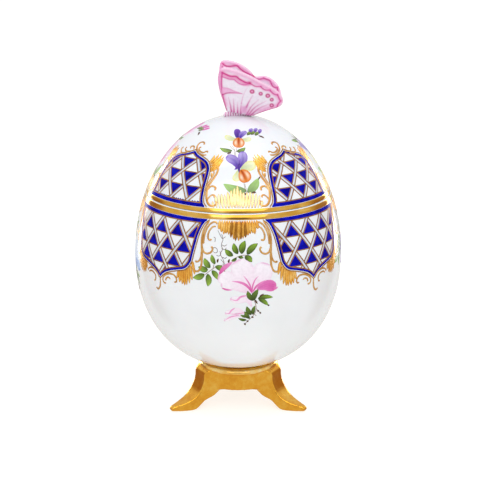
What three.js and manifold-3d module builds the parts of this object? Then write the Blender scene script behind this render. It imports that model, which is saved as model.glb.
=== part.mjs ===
// Porcelain trinket box: an egg-shaped bowl on a gilded tripod stand, and a lift-off lid
// with a butterfly as its knob.
// Millimetres, +Z up. The origin is on the table under the middle of the box, and -Y is its front.

import * as THREE from "three";
import { mergeVertices } from "three/addons/utils/BufferGeometryUtils.js";
import Module from "manifold-3d";

// Egg: two half superellipses that share the widest circle
const eggRadius = 41.2;
const equatorHeight = 62.6;
const upperHalf = { height: 55.5, power: 2.0 };
const lowerHalf = { height: 46.5, power: 2.22 };
const wall = 3.0;

// Lid and bowl meet on a flat rim, and a flange inside the lid keeps it centred
const seamHeight = 88.0;
const jointGap = 0.3;
const flangeRadius = 33.0;
const flangeThickness = 2.2;
const flangeDepth = 3.8;

// Stand: a ring under the egg, with three legs
const ringOuter = 16.0;
const ringInner = 10.6;
const ringBottom = 9.5;
const ringTopRadius = 14.7;
const ringEdgeRound = 0.6;
const beadHeight = 16.9;
const beadRadius = 0.75;
const beadSteps = 4;
const legAngles = { stand_leg_front_left: -60, stand_leg_front_right: 60, stand_leg_back: 180 };
const legRoot = ringOuter + jointGap;
const legRootHeight = 15.5;
const shoulder = { reach: 17.65, height: 13.3 };
const ankle = { reach: 19.4, height: 4.6 };
const toe = { reach: 28.6, height: 2.2 };
const footReach = 31.0;
const heelReach = 20.9;
const toeThickness = 1.2;
const toeSlant = 0.4;
const soleReaches = [27.5, 24.0, heelReach];
const legCurveSteps = 8;
const legWidths = { root: 7.9, widest: 8.8, tip: 2.0 };

// Butterfly: its head points to -X, and its wings are raised in a narrow V
const bodyLength = 11.8;
const bodyRadius = 1.15;
const bodyLift = 0.5;
const bodyFullness = 0.7;
const bodySegments = 14;
const crownHeight = 8.0;
const wingThickness = 1.5;
const wingSink = 0.4;
const wingLean = THREE.MathUtils.degToRad(15);
const wingRootSpread = 1.0;
const wingOutline = [
  [-4.6, 2.3], [-7.0, 10.6], [-7.6, 17.0], [-6.6, 20.8], [-4.6, 21.8], [0.0, 20.6], [4.6, 17.6],
  [8.6, 15.6], [12.4, 14.4], [15.4, 11.6], [17.3, 7.4], [16.6, 4.6], [12.4, 3.2], [8.4, 2.3],
];

const roundSegments = 40;
const curveSteps = 12;
const shortArcSteps = 5;

const colours = { porcelain: 0xf1f2f5, gilding: 0xd9a441, butterfly: 0xe8d7e6 };

const wasm = await Module();
wasm.setup();

function material(color, roughness, metalness) {
  return new THREE.MeshStandardMaterial({ color, roughness, metalness });
}

function toSolid(geometry) {
  const bare = geometry.clone();
  bare.deleteAttribute("normal");
  bare.deleteAttribute("uv");
  const merged = mergeVertices(bare, 1e-3);
  const vertProperties = new Float32Array(merged.attributes.position.array);
  const triVerts = new Uint32Array(merged.index.array);
  return new wasm.Manifold(new wasm.Mesh({ numProp: 3, vertProperties, triVerts }));
}

function fromSolid(solid) {
  const mesh = solid.getMesh();
  const geometry = new THREE.BufferGeometry();
  geometry.setAttribute("position", new THREE.BufferAttribute(mesh.vertProperties, 3));
  geometry.setIndex(new THREE.BufferAttribute(mesh.triVerts, 1));
  geometry.computeVertexNormals();
  return geometry;
}

// The half of the egg that a height belongs to, thinned by an inset
function halfAt(above, inset) {
  const half = above ? upperHalf : lowerHalf;
  return { height: half.height - inset, power: half.power };
}

// A point on the egg's outline, from -90 degrees at its bottom to 90 at its top
function eggPoint(angle, inset) {
  const half = halfAt(angle > 0, inset);
  const radius = (eggRadius - inset) * Math.cos(angle) ** (2 / half.power);
  const rise = half.height * Math.abs(Math.sin(angle)) ** (2 / half.power);
  return new THREE.Vector2(Math.max(radius, 0), equatorHeight + Math.sign(angle) * rise);
}

function eggAngle(height, inset) {
  const offset = height - equatorHeight;
  const half = halfAt(offset > 0, inset);
  return Math.sign(offset) * Math.asin(Math.min(1, (Math.abs(offset) / half.height) ** (half.power / 2)));
}

function eggHeight(radius, inset) {
  const share = (radius / (eggRadius - inset)) ** lowerHalf.power;
  return equatorHeight - (lowerHalf.height - inset) * (1 - share) ** (1 / lowerHalf.power);
}

function eggArc(fromAngle, toAngle, inset, steps) {
  const angleAt = (i) => THREE.MathUtils.lerp(fromAngle, toAngle, i / steps);
  return Array.from({ length: steps + 1 }, (_, i) => eggPoint(angleAt(i), inset));
}

function onAxis(point) {
  return new THREE.Vector2(0, point.y);
}

// Revolves a profile of radius and height about the Z axis
function revolve(profile) {
  return new THREE.LatheGeometry(profile, roundSegments).rotateX(Math.PI / 2);
}

function bowlShell() {
  const rim = seamHeight - jointGap / 2;
  const surface = (inset) => {
    const below = eggArc(-Math.PI / 2, 0, inset, curveSteps);
    const above = eggArc(0, eggAngle(rim, inset), inset, shortArcSteps);
    return [onAxis(below[0]), ...below.slice(1), ...above.slice(1)];
  };
  return revolve([...surface(0), ...surface(wall).reverse()]);
}

function lidShell() {
  const rim = seamHeight + jointGap / 2;
  const flangeInner = flangeRadius - flangeThickness;
  const flangeBottom = seamHeight - flangeDepth;
  const flangeShare = flangeInner / (eggRadius - wall);
  const flangeTop = equatorHeight + (upperHalf.height - wall) * Math.sqrt(1 - flangeShare ** 2);
  const outside = eggArc(eggAngle(rim, 0), Math.PI / 2, 0, curveSteps);
  const inside = eggArc(Math.PI / 2, eggAngle(flangeTop, wall), wall, curveSteps);
  const flange = [
    new THREE.Vector2(flangeInner, flangeBottom),
    new THREE.Vector2(flangeRadius, flangeBottom),
    new THREE.Vector2(flangeRadius, rim),
  ];
  outside[outside.length - 1] = onAxis(outside.at(-1));
  inside[0] = onAxis(inside[0]);
  const loop = [...outside, ...inside, ...flange];
  const firstOnAxis = outside.length - 1;
  // The outline starts and ends on the axis: inside of the crown, flange, rim, outside
  return revolve([...loop.slice(firstOnAxis + 1), ...loop.slice(0, firstOnAxis + 1)]);
}

function standRing() {
  const beadCentre = ringOuter - beadRadius;
  const beadStart = THREE.MathUtils.degToRad(-60);
  const beadEnd = THREE.MathUtils.degToRad(80);
  const bead = Array.from({ length: beadSteps + 1 }, (_, i) => {
    const turn = THREE.MathUtils.lerp(beadStart, beadEnd, i / beadSteps);
    const radius = beadCentre + beadRadius * Math.cos(turn);
    return new THREE.Vector2(radius, beadHeight + beadRadius * Math.sin(turn));
  });
  const seat = [ringTopRadius - jointGap, (ringTopRadius + ringInner) / 2, ringInner].map(
    (radius) => new THREE.Vector2(radius, eggHeight(radius, 0) - jointGap),
  );
  const loop = [
    new THREE.Vector2(ringInner, ringBottom),
    new THREE.Vector2(ringOuter - ringEdgeRound, ringBottom),
    new THREE.Vector2(ringOuter, ringBottom + ringEdgeRound),
    ...bead,
    ...seat,
  ];
  return revolve([...loop, loop[0]]);
}

// Width of a leg at a distance from the middle of the stand
function legWidth(reach) {
  if (reach < heelReach) {
    const share = (reach - legRoot) / (heelReach - legRoot);
    return THREE.MathUtils.lerp(legWidths.root, legWidths.widest, share);
  }
  const share = (reach - heelReach) / (footReach - heelReach);
  return THREE.MathUtils.lerp(legWidths.widest, legWidths.tip, share ** 2);
}

function standLeg() {
  const outline = new THREE.Shape();
  outline.moveTo(legRoot, ringBottom);
  outline.lineTo(legRoot, legRootHeight);
  outline.lineTo(shoulder.reach, shoulder.height);
  outline.quadraticCurveTo(ankle.reach, ankle.height, toe.reach, toe.height);
  outline.lineTo(footReach, toeThickness);
  outline.lineTo(footReach - toeSlant, 0);
  for (const reach of soleReaches) {
    outline.lineTo(reach, 0);
  }
  const geometry = new THREE.ExtrudeGeometry(outline, {
    depth: 1,
    steps: 1,
    bevelEnabled: false,
    curveSegments: legCurveSteps,
  });
  geometry.translate(0, 0, -0.5);
  const position = geometry.attributes.position;
  for (let i = 0; i < position.count; i += 1) {
    const reach = position.getX(i);
    const across = position.getZ(i) * legWidth(reach);
    position.setXYZ(i, -across, -reach, position.getY(i));
  }
  return geometry;
}

// A spindle along X, cut to stand clear of the crown of the lid
function butterflyBody() {
  const top = equatorHeight + upperHalf.height;
  const outline = Array.from({ length: curveSteps + 1 }, (_, i) => {
    const turn = (Math.PI * i) / curveSteps;
    const radius = i % curveSteps === 0 ? 0 : bodyRadius * Math.sin(turn) ** bodyFullness;
    return new THREE.Vector2(radius, (-bodyLength / 2) * Math.cos(turn));
  });
  const spindle = new THREE.LatheGeometry(outline, bodySegments).rotateZ(-Math.PI / 2);
  spindle.translate(0, 0, top + bodyLift);
  const crown = eggArc(eggAngle(top - crownHeight, -jointGap), Math.PI / 2, -jointGap, curveSteps);
  crown[crown.length - 1] = onAxis(crown.at(-1));
  const clearance = revolve([new THREE.Vector2(0, equatorHeight), ...crown]);
  return fromSolid(toSolid(spindle).subtract(toSolid(clearance)));
}

// One side's fore and hind wing as a flat plate: x runs from head to tail, y up the wing
function butterflyWing() {
  const [start, ...rest] = wingOutline.map(([x, y]) => new THREE.Vector2(x, y));
  const outline = new THREE.Shape();
  outline.moveTo(start.x, start.y);
  outline.splineThru(rest);
  const geometry = new THREE.ExtrudeGeometry(outline, {
    depth: wingThickness,
    steps: 1,
    bevelEnabled: false,
    curveSegments: 3,
  });
  geometry.translate(0, 0, -wingThickness / 2);
  return geometry.rotateX(Math.PI / 2);
}

const group = new THREE.Group();
const porcelain = material(colours.porcelain, 0.12, 0);
const gilding = material(colours.gilding, 0.18, 1);
const butterflyGlaze = material(colours.butterfly, 0.15, 0);

function add(name, geometry, finish, parent = group) {
  const mesh = new THREE.Mesh(geometry, finish);
  mesh.name = name;
  parent.add(mesh);
  return mesh;
}

add("bowl_shell", bowlShell(), porcelain);
add("lid_shell", lidShell(), porcelain);
add("stand_ring", standRing(), gilding);
for (const [name, angle] of Object.entries(legAngles)) {
  add(name, standLeg(), gilding).rotation.z = THREE.MathUtils.degToRad(angle);
}

add("butterfly_body", butterflyBody(), butterflyGlaze);
const wingBase = equatorHeight + upperHalf.height - wingSink;
for (const [name, side] of Object.entries({ butterfly_wing_left: -1, butterfly_wing_right: 1 })) {
  const wing = add(name, butterflyWing(), butterflyGlaze);
  wing.position.set(0, side * wingRootSpread, wingBase);
  wing.rotation.x = -side * wingLean;
}

export default group;
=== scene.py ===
"""Looks of the porcelain trinket box: glaze, enamel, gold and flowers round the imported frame.

Lengths in this script are in millimetres until a piece is made. Drawings are made on flat charts, where x
runs to the right and y up, and each chart lays its drawing on a curved surface.
"""

import math
import random

import bmesh
import bpy
import numpy as np
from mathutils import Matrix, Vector
from mathutils.geometry import delaunay_2d_cdt


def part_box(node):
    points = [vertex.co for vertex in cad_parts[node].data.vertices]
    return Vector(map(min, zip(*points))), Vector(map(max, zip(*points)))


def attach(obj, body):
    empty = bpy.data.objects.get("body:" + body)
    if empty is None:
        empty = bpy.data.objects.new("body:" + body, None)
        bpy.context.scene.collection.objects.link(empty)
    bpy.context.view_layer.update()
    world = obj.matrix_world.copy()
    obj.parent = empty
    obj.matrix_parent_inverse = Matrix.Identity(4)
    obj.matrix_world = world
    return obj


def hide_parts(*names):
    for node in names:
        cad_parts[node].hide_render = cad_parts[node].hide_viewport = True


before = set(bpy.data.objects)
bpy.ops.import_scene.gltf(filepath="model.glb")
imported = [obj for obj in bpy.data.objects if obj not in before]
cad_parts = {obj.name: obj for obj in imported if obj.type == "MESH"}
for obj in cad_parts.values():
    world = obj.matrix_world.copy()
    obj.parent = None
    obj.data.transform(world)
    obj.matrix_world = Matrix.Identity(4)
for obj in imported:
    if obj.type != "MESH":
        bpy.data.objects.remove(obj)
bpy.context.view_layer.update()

MM = 0.001
PAINT_ROOM = 0.12  # the glaze lies this far inside the frame's surface, so raised enamel stays within it
SEAM_GAP = 0.3
WALL = 3.0
UPPER_POWER, LOWER_POWER = 2.0, 2.22  # powers of the two superellipses that make the egg
OUTLINE_STEPS = 4001
FLAT_ANGLE = math.radians(40)  # edges sharper than this stay sharp in the shading
PANEL_ANGLES = {"front_left": -45, "front_right": 45, "back_right": 135, "back_left": -135}
# The painter set the bowl's panels a few degrees away from the lid's
BOWL_TURNS = {"front_left": -1.6, "front_right": -0.5, "back_right": 0, "back_left": 0}
SPRAY_ANGLES = FRONT, RIGHT, BACK, LEFT = 0, 90, 180, -90

bowl_low, bowl_high = (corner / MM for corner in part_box("bowl_shell"))
lid_low, lid_high = (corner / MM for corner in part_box("lid_shell"))
body_low, body_high = (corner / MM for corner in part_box("butterfly_body"))
widest = max(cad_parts["bowl_shell"].data.vertices, key=lambda v: v.co.xy.length).co / MM

EGG_RADIUS = widest.xy.length - PAINT_ROOM
EQUATOR = widest.z
UPPER_HEIGHT = lid_high.z - EQUATOR - PAINT_ROOM
LOWER_HEIGHT = EQUATOR - bowl_low.z - PAINT_ROOM
SEAM = bowl_high.z + SEAM_GAP / 2


# ---------------------------------------------------------------- the egg and its charts

def outline(inset=0.0):
    """Radii and heights of the egg's outline from bottom to top, thinned by an inset."""
    angle = np.linspace(-math.pi / 2, math.pi / 2, OUTLINE_STEPS)
    power = np.where(angle > 0, UPPER_POWER, LOWER_POWER)
    reach = np.where(angle > 0, UPPER_HEIGHT, LOWER_HEIGHT) - inset
    radius = (EGG_RADIUS - inset) * np.clip(np.cos(angle), 0, 1) ** (2 / power)
    height = EQUATOR + np.sign(angle) * reach * np.abs(np.sin(angle)) ** (2 / power)
    return radius, height


OUT_RADIUS, OUT_HEIGHT = outline()
OUT_ALONG = np.concatenate([[0], np.cumsum(np.hypot(np.diff(OUT_RADIUS), np.diff(OUT_HEIGHT)))])
OUT_ALONG -= np.interp(SEAM, OUT_HEIGHT, OUT_ALONG)
OUT_NORMAL = np.stack([np.gradient(OUT_HEIGHT, OUT_ALONG), -np.gradient(OUT_RADIUS, OUT_ALONG)])
OUT_NORMAL /= np.linalg.norm(OUT_NORMAL, axis=0)
TOP_ALONG, BOTTOM_ALONG = OUT_ALONG[-1], OUT_ALONG[0]


def on_egg(phi, along, lift):
    """Points on the egg: phi in radians from the front, along in mm up the outline from the seam."""
    radius = np.interp(along, OUT_ALONG, OUT_RADIUS) + lift * np.interp(along, OUT_ALONG, OUT_NORMAL[0])
    height = np.interp(along, OUT_ALONG, OUT_HEIGHT) + lift * np.interp(along, OUT_ALONG, OUT_NORMAL[1])
    return np.stack([radius * np.sin(phi), -radius * np.cos(phi), height], axis=-1)


def egg_chart(degrees, mirrored=False):
    """A chart on the egg, centred at an angle from the front, with y in mm up from the seam."""
    hand = -1 if mirrored else 1

    def chart(x, y, lift):
        radius = np.interp(y, OUT_ALONG, OUT_RADIUS)
        return on_egg(math.radians(degrees) + hand * x / radius, y, lift)

    return chart


# ---------------------------------------------------------------- meshes

class Bag:
    """Faces collected for one piece, with a paint colour at each point."""

    def __init__(self):
        self.points, self.faces, self.paint = [], [], []

    def add(self, points, faces, paint=(1, 1, 1)):
        start = len(self.points)
        points = np.asarray(points).reshape(-1, 3)
        self.points.extend(points.tolist())
        self.faces.extend([tuple(start + i for i in face) for face in faces])
        self.paint.extend(np.broadcast_to(paint, (len(points), 3)).tolist())


def piece(name, bag, material, body, replaces=()):
    """Makes one piece of the object from a bag, rides it on its body and gives it its finish."""
    mesh = bpy.data.meshes.new(name)
    mesh.from_pydata([[c * MM for c in point] for point in bag.points], [], bag.faces)
    attribute = mesh.color_attributes.new("paint", "FLOAT_COLOR", "POINT")
    rgba = np.column_stack([np.array(bag.paint), np.ones(len(bag.paint))])
    attribute.data.foreach_set("color", rgba.astype(np.float32).ravel())
    shape = bmesh.new()
    shape.from_mesh(mesh)
    bmesh.ops.recalc_face_normals(shape, faces=shape.faces)
    for face in shape.faces:
        face.smooth = True
    for edge in shape.edges:
        edge.smooth = edge.calc_face_angle(0.0) < FLAT_ANGLE
    shape.to_mesh(mesh)
    shape.free()
    mesh.materials.append(material)
    thing = bpy.data.objects.new(name, mesh)
    bpy.context.scene.collection.objects.link(thing)
    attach(thing, body)
    if replaces:
        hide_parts(*replaces)
    return thing


def grid_faces(rows, columns, closed_rows=False, closed_columns=False):
    """Quads over a grid of points that is stored row by row."""
    row_range = range(rows if closed_rows else rows - 1)
    column_range = range(columns if closed_columns else columns - 1)
    return [
        (r * columns + c, r * columns + (c + 1) % columns,
         ((r + 1) % rows) * columns + (c + 1) % columns, ((r + 1) % rows) * columns + c)
        for r in row_range
        for c in column_range
    ]


def revolve(profile, segments=180, closed=False):
    """Points and faces of a (radius, height) profile turned about Z. Ends of radius 0 become one point."""
    profile = [tuple(p) for p in profile]
    tips = [0 if profile[0][0] < 1e-6 else None, len(profile) - 1 if profile[-1][0] < 1e-6 else None]
    ring_rows = [p for i, p in enumerate(profile) if i not in tips]
    turn = np.linspace(0, 2 * math.pi, segments, endpoint=False)
    points = np.array([[r * np.sin(turn), -r * np.cos(turn), np.full(segments, z)] for r, z in ring_rows])
    points = points.transpose(0, 2, 1).reshape(-1, 3)
    faces = grid_faces(len(ring_rows), segments, closed_rows=closed, closed_columns=True)
    for tip, row in ((tips[0], 0), (tips[1], len(ring_rows) - 1)):
        if tip is not None:
            points = np.vstack([points, [0, 0, profile[tip][1]]])
            centre = len(points) - 1
            base = row * segments
            faces += [(base + i, base + (i + 1) % segments, centre) for i in range(segments)]
    return points, faces


def smooth_line(points, steps):
    """A smooth line through points, as an array of steps + 1 places evenly spaced along it."""
    p = np.array(points, float)
    if len(p) > 2:
        before = np.vstack([2 * p[0] - p[1], p, 2 * p[-1] - p[-2]])
        slopes = (before[2:] - before[:-2]) / 2
        t = np.linspace(0, 1, 13)[:-1, None]
        dense = [
            (2 * t**3 - 3 * t**2 + 1) * p[i] + (t**3 - 2 * t**2 + t) * slopes[i]
            + (3 * t**2 - 2 * t**3) * p[i + 1] + (t**3 - t**2) * slopes[i + 1]
            for i in range(len(p) - 1)
        ]
        p = np.vstack([*dense, p[-1:]])
    along = np.concatenate([[0], np.cumsum(np.linalg.norm(np.diff(p, axis=0), axis=1))])
    wanted = np.linspace(0, along[-1], steps + 1)
    return np.column_stack([np.interp(wanted, along, p[:, k]) for k in (0, 1)])


def graph(x, points):
    """The height at x of the line that joins (x, height) points."""
    return np.interp(x, [p[0] for p in points], [p[1] for p in points])


# Half-width along a stroke is u ** rise * (1 - u) ** fall, scaled to 1 at its widest
STROKES = {
    "leaf": (0.75, 0.9),
    "petal": (0.75, 0.42),
    "round": (0.55, 0.42),
    "blade": (0.9, 0.7),
    "tassel": (0.35, 0.6),
    "line": (0.1, 0.1),
}
BURIED = -0.03  # how far below the glaze the edge of a stroke lies


def both_ways(*shares):
    """Places across a stroke, mirrored about its middle."""
    return np.array([*(-share for share in reversed(shares)), 0, *shares])


ACROSS = both_ways(0.3, 0.6, 0.86, 1)
PETAL_ACROSS = both_ways(0.1, 0.24, 0.38, 0.52, 0.66, 0.8, 0.92, 1)
SCROLL_ACROSS = both_ways(0.4, 0.8, 1)
LEAF_ACROSS = both_ways(0.4, 0.7, 0.85, 1)
DENSE = 96


def stroke_width(kind, u):
    """Share of a stroke's full half-width at u along it."""
    rise, fall = STROKES[kind]
    peak = rise / (rise + fall)
    scale = peak**rise * (1 - peak) ** fall
    return u**rise * (1 - u) ** fall / scale


def brush(bag, chart, points, half_width, kind, paint, lift, relief, steps, across=ACROSS, ball=0.0):
    """Lays one closed, slightly raised brush stroke. paint is a function of u along and v across it."""
    u = np.linspace(0, 1, steps + 1)
    if kind in ("petal", "round", "leaf"):
        u = (1 - np.cos(math.pi * u)) / 2
    dense = smooth_line(points, DENSE)
    dense_u = np.linspace(0, 1, DENSE + 1)
    line = np.column_stack([np.interp(u, dense_u, dense[:, k]) for k in (0, 1)])
    slope = np.gradient(dense, axis=0)
    slope = np.column_stack([np.interp(u, dense_u, slope[:, k]) for k in (0, 1)])
    side = np.column_stack([-slope[:, 1], slope[:, 0]]) / np.linalg.norm(slope, axis=1)[:, None]
    width = half_width * stroke_width(kind, u)
    if ball:
        length = np.linalg.norm(np.diff(dense, axis=0), axis=1).sum()
        off_centre = (1 - u) * length - ball
        width = np.maximum(width * (u < 1), np.sqrt(np.clip(ball**2 - off_centre**2, 0, None)))
    flat = line[:, None] + side[:, None] * (width[:, None] * across)[..., None]
    uu, vv = np.broadcast_arrays(u[:, None], across)
    edge = (np.abs(vv) > 0.99) | (uu < 1e-9) | (uu > 1 - 1e-9)
    top = np.where(edge, BURIED, lift + relief * (1 - vv**2))
    upper = chart(flat[..., 0], flat[..., 1], top)
    lower = chart(flat[..., 0], flat[..., 1], np.full(vv.shape, BURIED - 0.02))
    colour = np.broadcast_to(paint(uu, vv), (*vv.shape, 3)).reshape(-1, 3)
    rows, columns = vv.shape
    count = rows * columns
    faces = grid_faces(rows, columns)
    faces += [tuple(count + i for i in face[::-1]) for face in grid_faces(rows, columns)]
    rim = [*range(columns), *range(2 * columns - 1, count, columns),
           *range(count - 2, count - columns - 1, -1), *range(count - 2 * columns, 0, -columns)]
    faces += [(a, b, b + count, a + count) for a, b in zip(rim, rim[1:] + rim[:1])]
    bag.add(np.vstack([upper.reshape(-1, 3), lower.reshape(-1, 3)]), faces, np.vstack([colour, colour]))


def plate(bag, chart, flat, triangles, top):
    """A thin closed plate over flat triangles, with its top raised and its underside buried."""
    used = sorted({i for tri in triangles for i in tri})
    place = {i: n for n, i in enumerate(used)}
    xy = np.array([flat[i] for i in used], float)
    count = len(used)
    upper = chart(xy[:, 0], xy[:, 1], np.full(count, top))
    lower = chart(xy[:, 0], xy[:, 1], np.full(count, BURIED))
    tris = [tuple(place[i] for i in tri) for tri in triangles]
    once = {}
    for tri in tris:
        for a, b in zip(tri, tri[1:] + tri[:1]):
            once[(a, b)] = True
    walls = [(a, b, b + count, a + count) for a, b in once if (b, a) not in once]
    faces = tris + [tuple(i + count for i in tri[::-1]) for tri in tris] + walls
    bag.add(np.vstack([upper, lower]), faces)


# ---------------------------------------------------------------- colours

def srgb(code):
    """A linear colour from an sRGB code such as "c08030"."""
    values = np.array([int(code[i:i + 2], 16) / 255 for i in (0, 2, 4)])
    return np.where(values <= 0.04045, values / 12.92, ((values + 0.055) / 1.055) ** 2.4)


def wash(base, tip, edge=None, vein=None, edge_share=0.6, vein_share=0.7, vein_width=0.16, streaks=0.08,
         power=1.0, rim=3, lean=0.0):
    """Brushed colour from base to tip, with an edge, a middle vein, faint streaks and one darker half."""
    base, tip = srgb(base), srgb(tip)
    edge = None if edge is None else srgb(edge)
    vein = None if vein is None else srgb(vein)

    def paint(u, v):
        share = np.clip(u, 0, 1)[..., None] ** power
        colour = base * (1 - share) + tip * share
        colour = colour * (1 + streaks * np.sin(17 * v + 3 * np.sin(5 * u))[..., None]) * (1 + lean * v)[...,
                                                                                                         None]
        if edge is not None:
            reach = (np.maximum(np.abs(v), 1.25 * u**6) ** rim)[..., None] * edge_share
            colour = colour * (1 - np.clip(reach, 0, 1)) + edge * np.clip(reach, 0, 1)
        if vein is not None:
            mark = (np.exp(-((v / vein_width) ** 2)) * (1 - 0.8 * u) * vein_share)[..., None]
            colour = colour * (1 - mark) + vein * mark
        return np.clip(colour, 0, 1)

    return paint


# ---------------------------------------------------------------- materials

def new_material(name, metallic=0.0, coat=0.0, coat_roughness=0.03, ior=1.5):
    material = bpy.data.materials.new(name)
    material.use_nodes = True
    tree = material.node_tree
    shader = tree.nodes["Principled BSDF"]
    shader.inputs["Metallic"].default_value = metallic
    shader.inputs["Coat Weight"].default_value = coat
    shader.inputs["Coat Roughness"].default_value = coat_roughness
    shader.inputs["IOR"].default_value = ior
    return material, tree, shader


def noise(tree, scale, detail=3.0, distortion=0.0, stretch=(1, 1, 1)):
    """A noise texture in the object's own space. scale is in features per metre."""
    place = tree.nodes.new("ShaderNodeTexCoord")
    mapping = tree.nodes.new("ShaderNodeMapping")
    mapping.inputs["Scale"].default_value = stretch
    texture = tree.nodes.new("ShaderNodeTexNoise")
    texture.inputs["Scale"].default_value = scale
    texture.inputs["Detail"].default_value = detail
    texture.inputs["Distortion"].default_value = distortion
    tree.links.new(place.outputs["Object"], mapping.inputs["Vector"])
    tree.links.new(mapping.outputs["Vector"], texture.inputs["Vector"])
    return texture.outputs["Fac"]


def ramp(tree, factor, stops):
    """A colour ramp through (position, linear colour) stops."""
    node = tree.nodes.new("ShaderNodeValToRGB")
    elements = node.color_ramp.elements
    elements[0].position, elements[1].position = stops[0][0], stops[-1][0]
    elements[0].color, elements[1].color = (*stops[0][1], 1), (*stops[-1][1], 1)
    for position, colour in stops[1:-1]:
        elements.new(position).color = (*colour, 1)
    tree.links.new(factor, node.inputs["Fac"])
    return node.outputs["Color"]


def spread(tree, factor, low, high):
    """A factor from 0 to 1 mapped to a range of values."""
    node = tree.nodes.new("ShaderNodeMapRange")
    node.inputs["To Min"].default_value = low
    node.inputs["To Max"].default_value = high
    tree.links.new(factor, node.inputs["Value"])
    return node.outputs["Result"]


def bump(tree, shader, factor, strength, distance):
    """Small relief on the surface. distance is in metres."""
    node = tree.nodes.new("ShaderNodeBump")
    node.inputs["Strength"].default_value = strength
    node.inputs["Distance"].default_value = distance
    tree.links.new(factor, node.inputs["Height"])
    tree.links.new(node.outputs["Normal"], shader.inputs["Normal"])


def mix_colours(tree, factor, first, second, blend_type="MIX"):
    """Two colours blended. Each input is a socket or a fixed value."""
    node = tree.nodes.new("ShaderNodeMix")
    node.data_type = "RGBA"
    node.blend_type = blend_type
    for socket, value in (("Factor", factor), ("A", first), ("B", second)):
        index = {"Factor": 0, "A": 6, "B": 7}[socket]
        if isinstance(value, bpy.types.NodeSocket):
            tree.links.new(value, node.inputs[index])
        else:
            node.inputs[index].default_value = value
    return node.outputs[2]


def glaze_material(name, stops):
    """Fired white glaze: faint colour drift, slow ripple and fine orange peel under a clear coat."""
    material, tree, shader = new_material(name, coat=0.5)
    tree.links.new(ramp(tree, noise(tree, 45, 4), stops), shader.inputs["Base Color"])
    tree.links.new(spread(tree, noise(tree, 160, 5), 0.05, 0.13), shader.inputs["Roughness"])
    bump(tree, shader, noise(tree, 420, 3), 0.25, 0.00003)
    shader.inputs["Subsurface Weight"].default_value = 0.06
    shader.inputs["Subsurface Scale"].default_value = 0.002
    return material


def enamel_material(name, stops):
    """Cobalt enamel: it pools darker and lighter as the brush left it."""
    material, tree, shader = new_material(name, ior=1.14)
    pooled = noise(tree, 260, 3, distortion=0.6)
    tree.links.new(ramp(tree, pooled, stops), shader.inputs["Base Color"])
    tree.links.new(spread(tree, noise(tree, 900, 3), 0.12, 0.25), shader.inputs["Roughness"])
    bump(tree, shader, pooled, 0.3, 0.00004)
    return material


def times_paint(tree, colour):
    """A colour multiplied by the paint that the stroke's own points carry."""
    paint = tree.nodes.new("ShaderNodeAttribute")
    paint.attribute_name = "paint"
    return mix_colours(tree, 1.0, colour, paint.outputs["Color"], "MULTIPLY")


def painted_material(name):
    """Overglaze flower enamel: the stroke's own colour, thinned and thickened by the brush."""
    material, tree, shader = new_material(name, coat=0.15, ior=1.33)
    patches = noise(tree, 900, 4, distortion=0.4)
    uneven = ramp(tree, patches, [(0.3, (0.9,) * 3), (0.7, (1.0,) * 3)])
    tree.links.new(times_paint(tree, uneven), shader.inputs["Base Color"])
    tree.links.new(spread(tree, noise(tree, 700, 3), 0.08, 0.25), shader.inputs["Roughness"])
    bump(tree, shader, noise(tree, 1500, 3), 0.3, 0.00002)
    return material


def gold_material(name, codes, roughness, bump_size, brushed=(1, 1, 1), metallic=1.0):
    """Fired gold: thin and thick places, worn spots, and marks in the direction that it was brushed."""
    material, tree, shader = new_material(name, metallic=metallic, ior=1.45)
    marks = noise(tree, 500, 5, distortion=0.3, stretch=brushed)
    worn = noise(tree, 150, 4)
    blended = mix_colours(tree, 0.5, marks, worn)
    stops = [(position, srgb(code)) for position, code in zip((0.3, 0.5, 0.7), codes)]
    tree.links.new(times_paint(tree, ramp(tree, blended, stops)), shader.inputs["Base Color"])
    tree.links.new(spread(tree, marks, *roughness), shader.inputs["Roughness"])
    bump(tree, shader, marks, 0.35, bump_size)
    return material


porcelain = glaze_material("porcelain", [(0.3, srgb("dfe2e4")), (0.7, srgb("e6e8ea"))])
strip_white = glaze_material("lattice_strip", [(0.3, srgb("bcc2d0")), (0.7, srgb("d2d7e2"))])
cobalt = enamel_material("cobalt", [(0.25, srgb("020062")), (0.5, srgb("040498")), (0.8, srgb("0e1cc0"))])
flower_paint = painted_material("flower_enamel")
line_gold = gold_material("line_gold", ("82501e", "a56e32", "c48c4a"), (0.22, 0.42), 0.00005, metallic=0.85)
scroll_gold = gold_material("scroll_gold", ("b47a38", "d8a058", "f0c884"), (0.2, 0.4), 0.00005, metallic=0.85)
band_gold = gold_material("band_gold", ("d09434", "e6b04c", "f6d07c"), (0.06, 0.16), 0.00002,
                          (0.25, 0.25, 1.6))
leaf_gold = gold_material("leaf_gold", ("e09430", "f2b44c", "fcd486"), (0.18, 0.34), 0.00003, metallic=0.65)
# The lid fringe's gold is paler and lighter than the other golds: a painted highlight, as if it caught the
# light
highlit_pale_gold = gold_material("highlit_pale_gold", ("ecc478", "f6dc9e", "fcf0c8"), (0.2, 0.36), 0.00003, metallic=0.6)
# The bead's gold is lighter and paler than the stand's: a painted highlight on the polished bead
highlit_bead_gold = gold_material("highlit_bead_gold", ("f2b850", "fccc70", "fff0b4"), (0.03, 0.07), 0.00001)
stand_gold = gold_material("stand_gold", ("e49a30", "f0ae3c", "f8c458"), (0.08, 0.14), 0.00001)
butterfly_paint = painted_material("butterfly_glaze")


# ---------------------------------------------------------------- shells

def rounded(corner, radius, start, end, steps=6):
    """An arc about a corner's centre, with angles in degrees from outwards."""
    turn = np.radians(np.linspace(start, end, steps))
    return [(corner[0] + radius * math.cos(a), corner[1] + radius * math.sin(a)) for a in turn]


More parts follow.
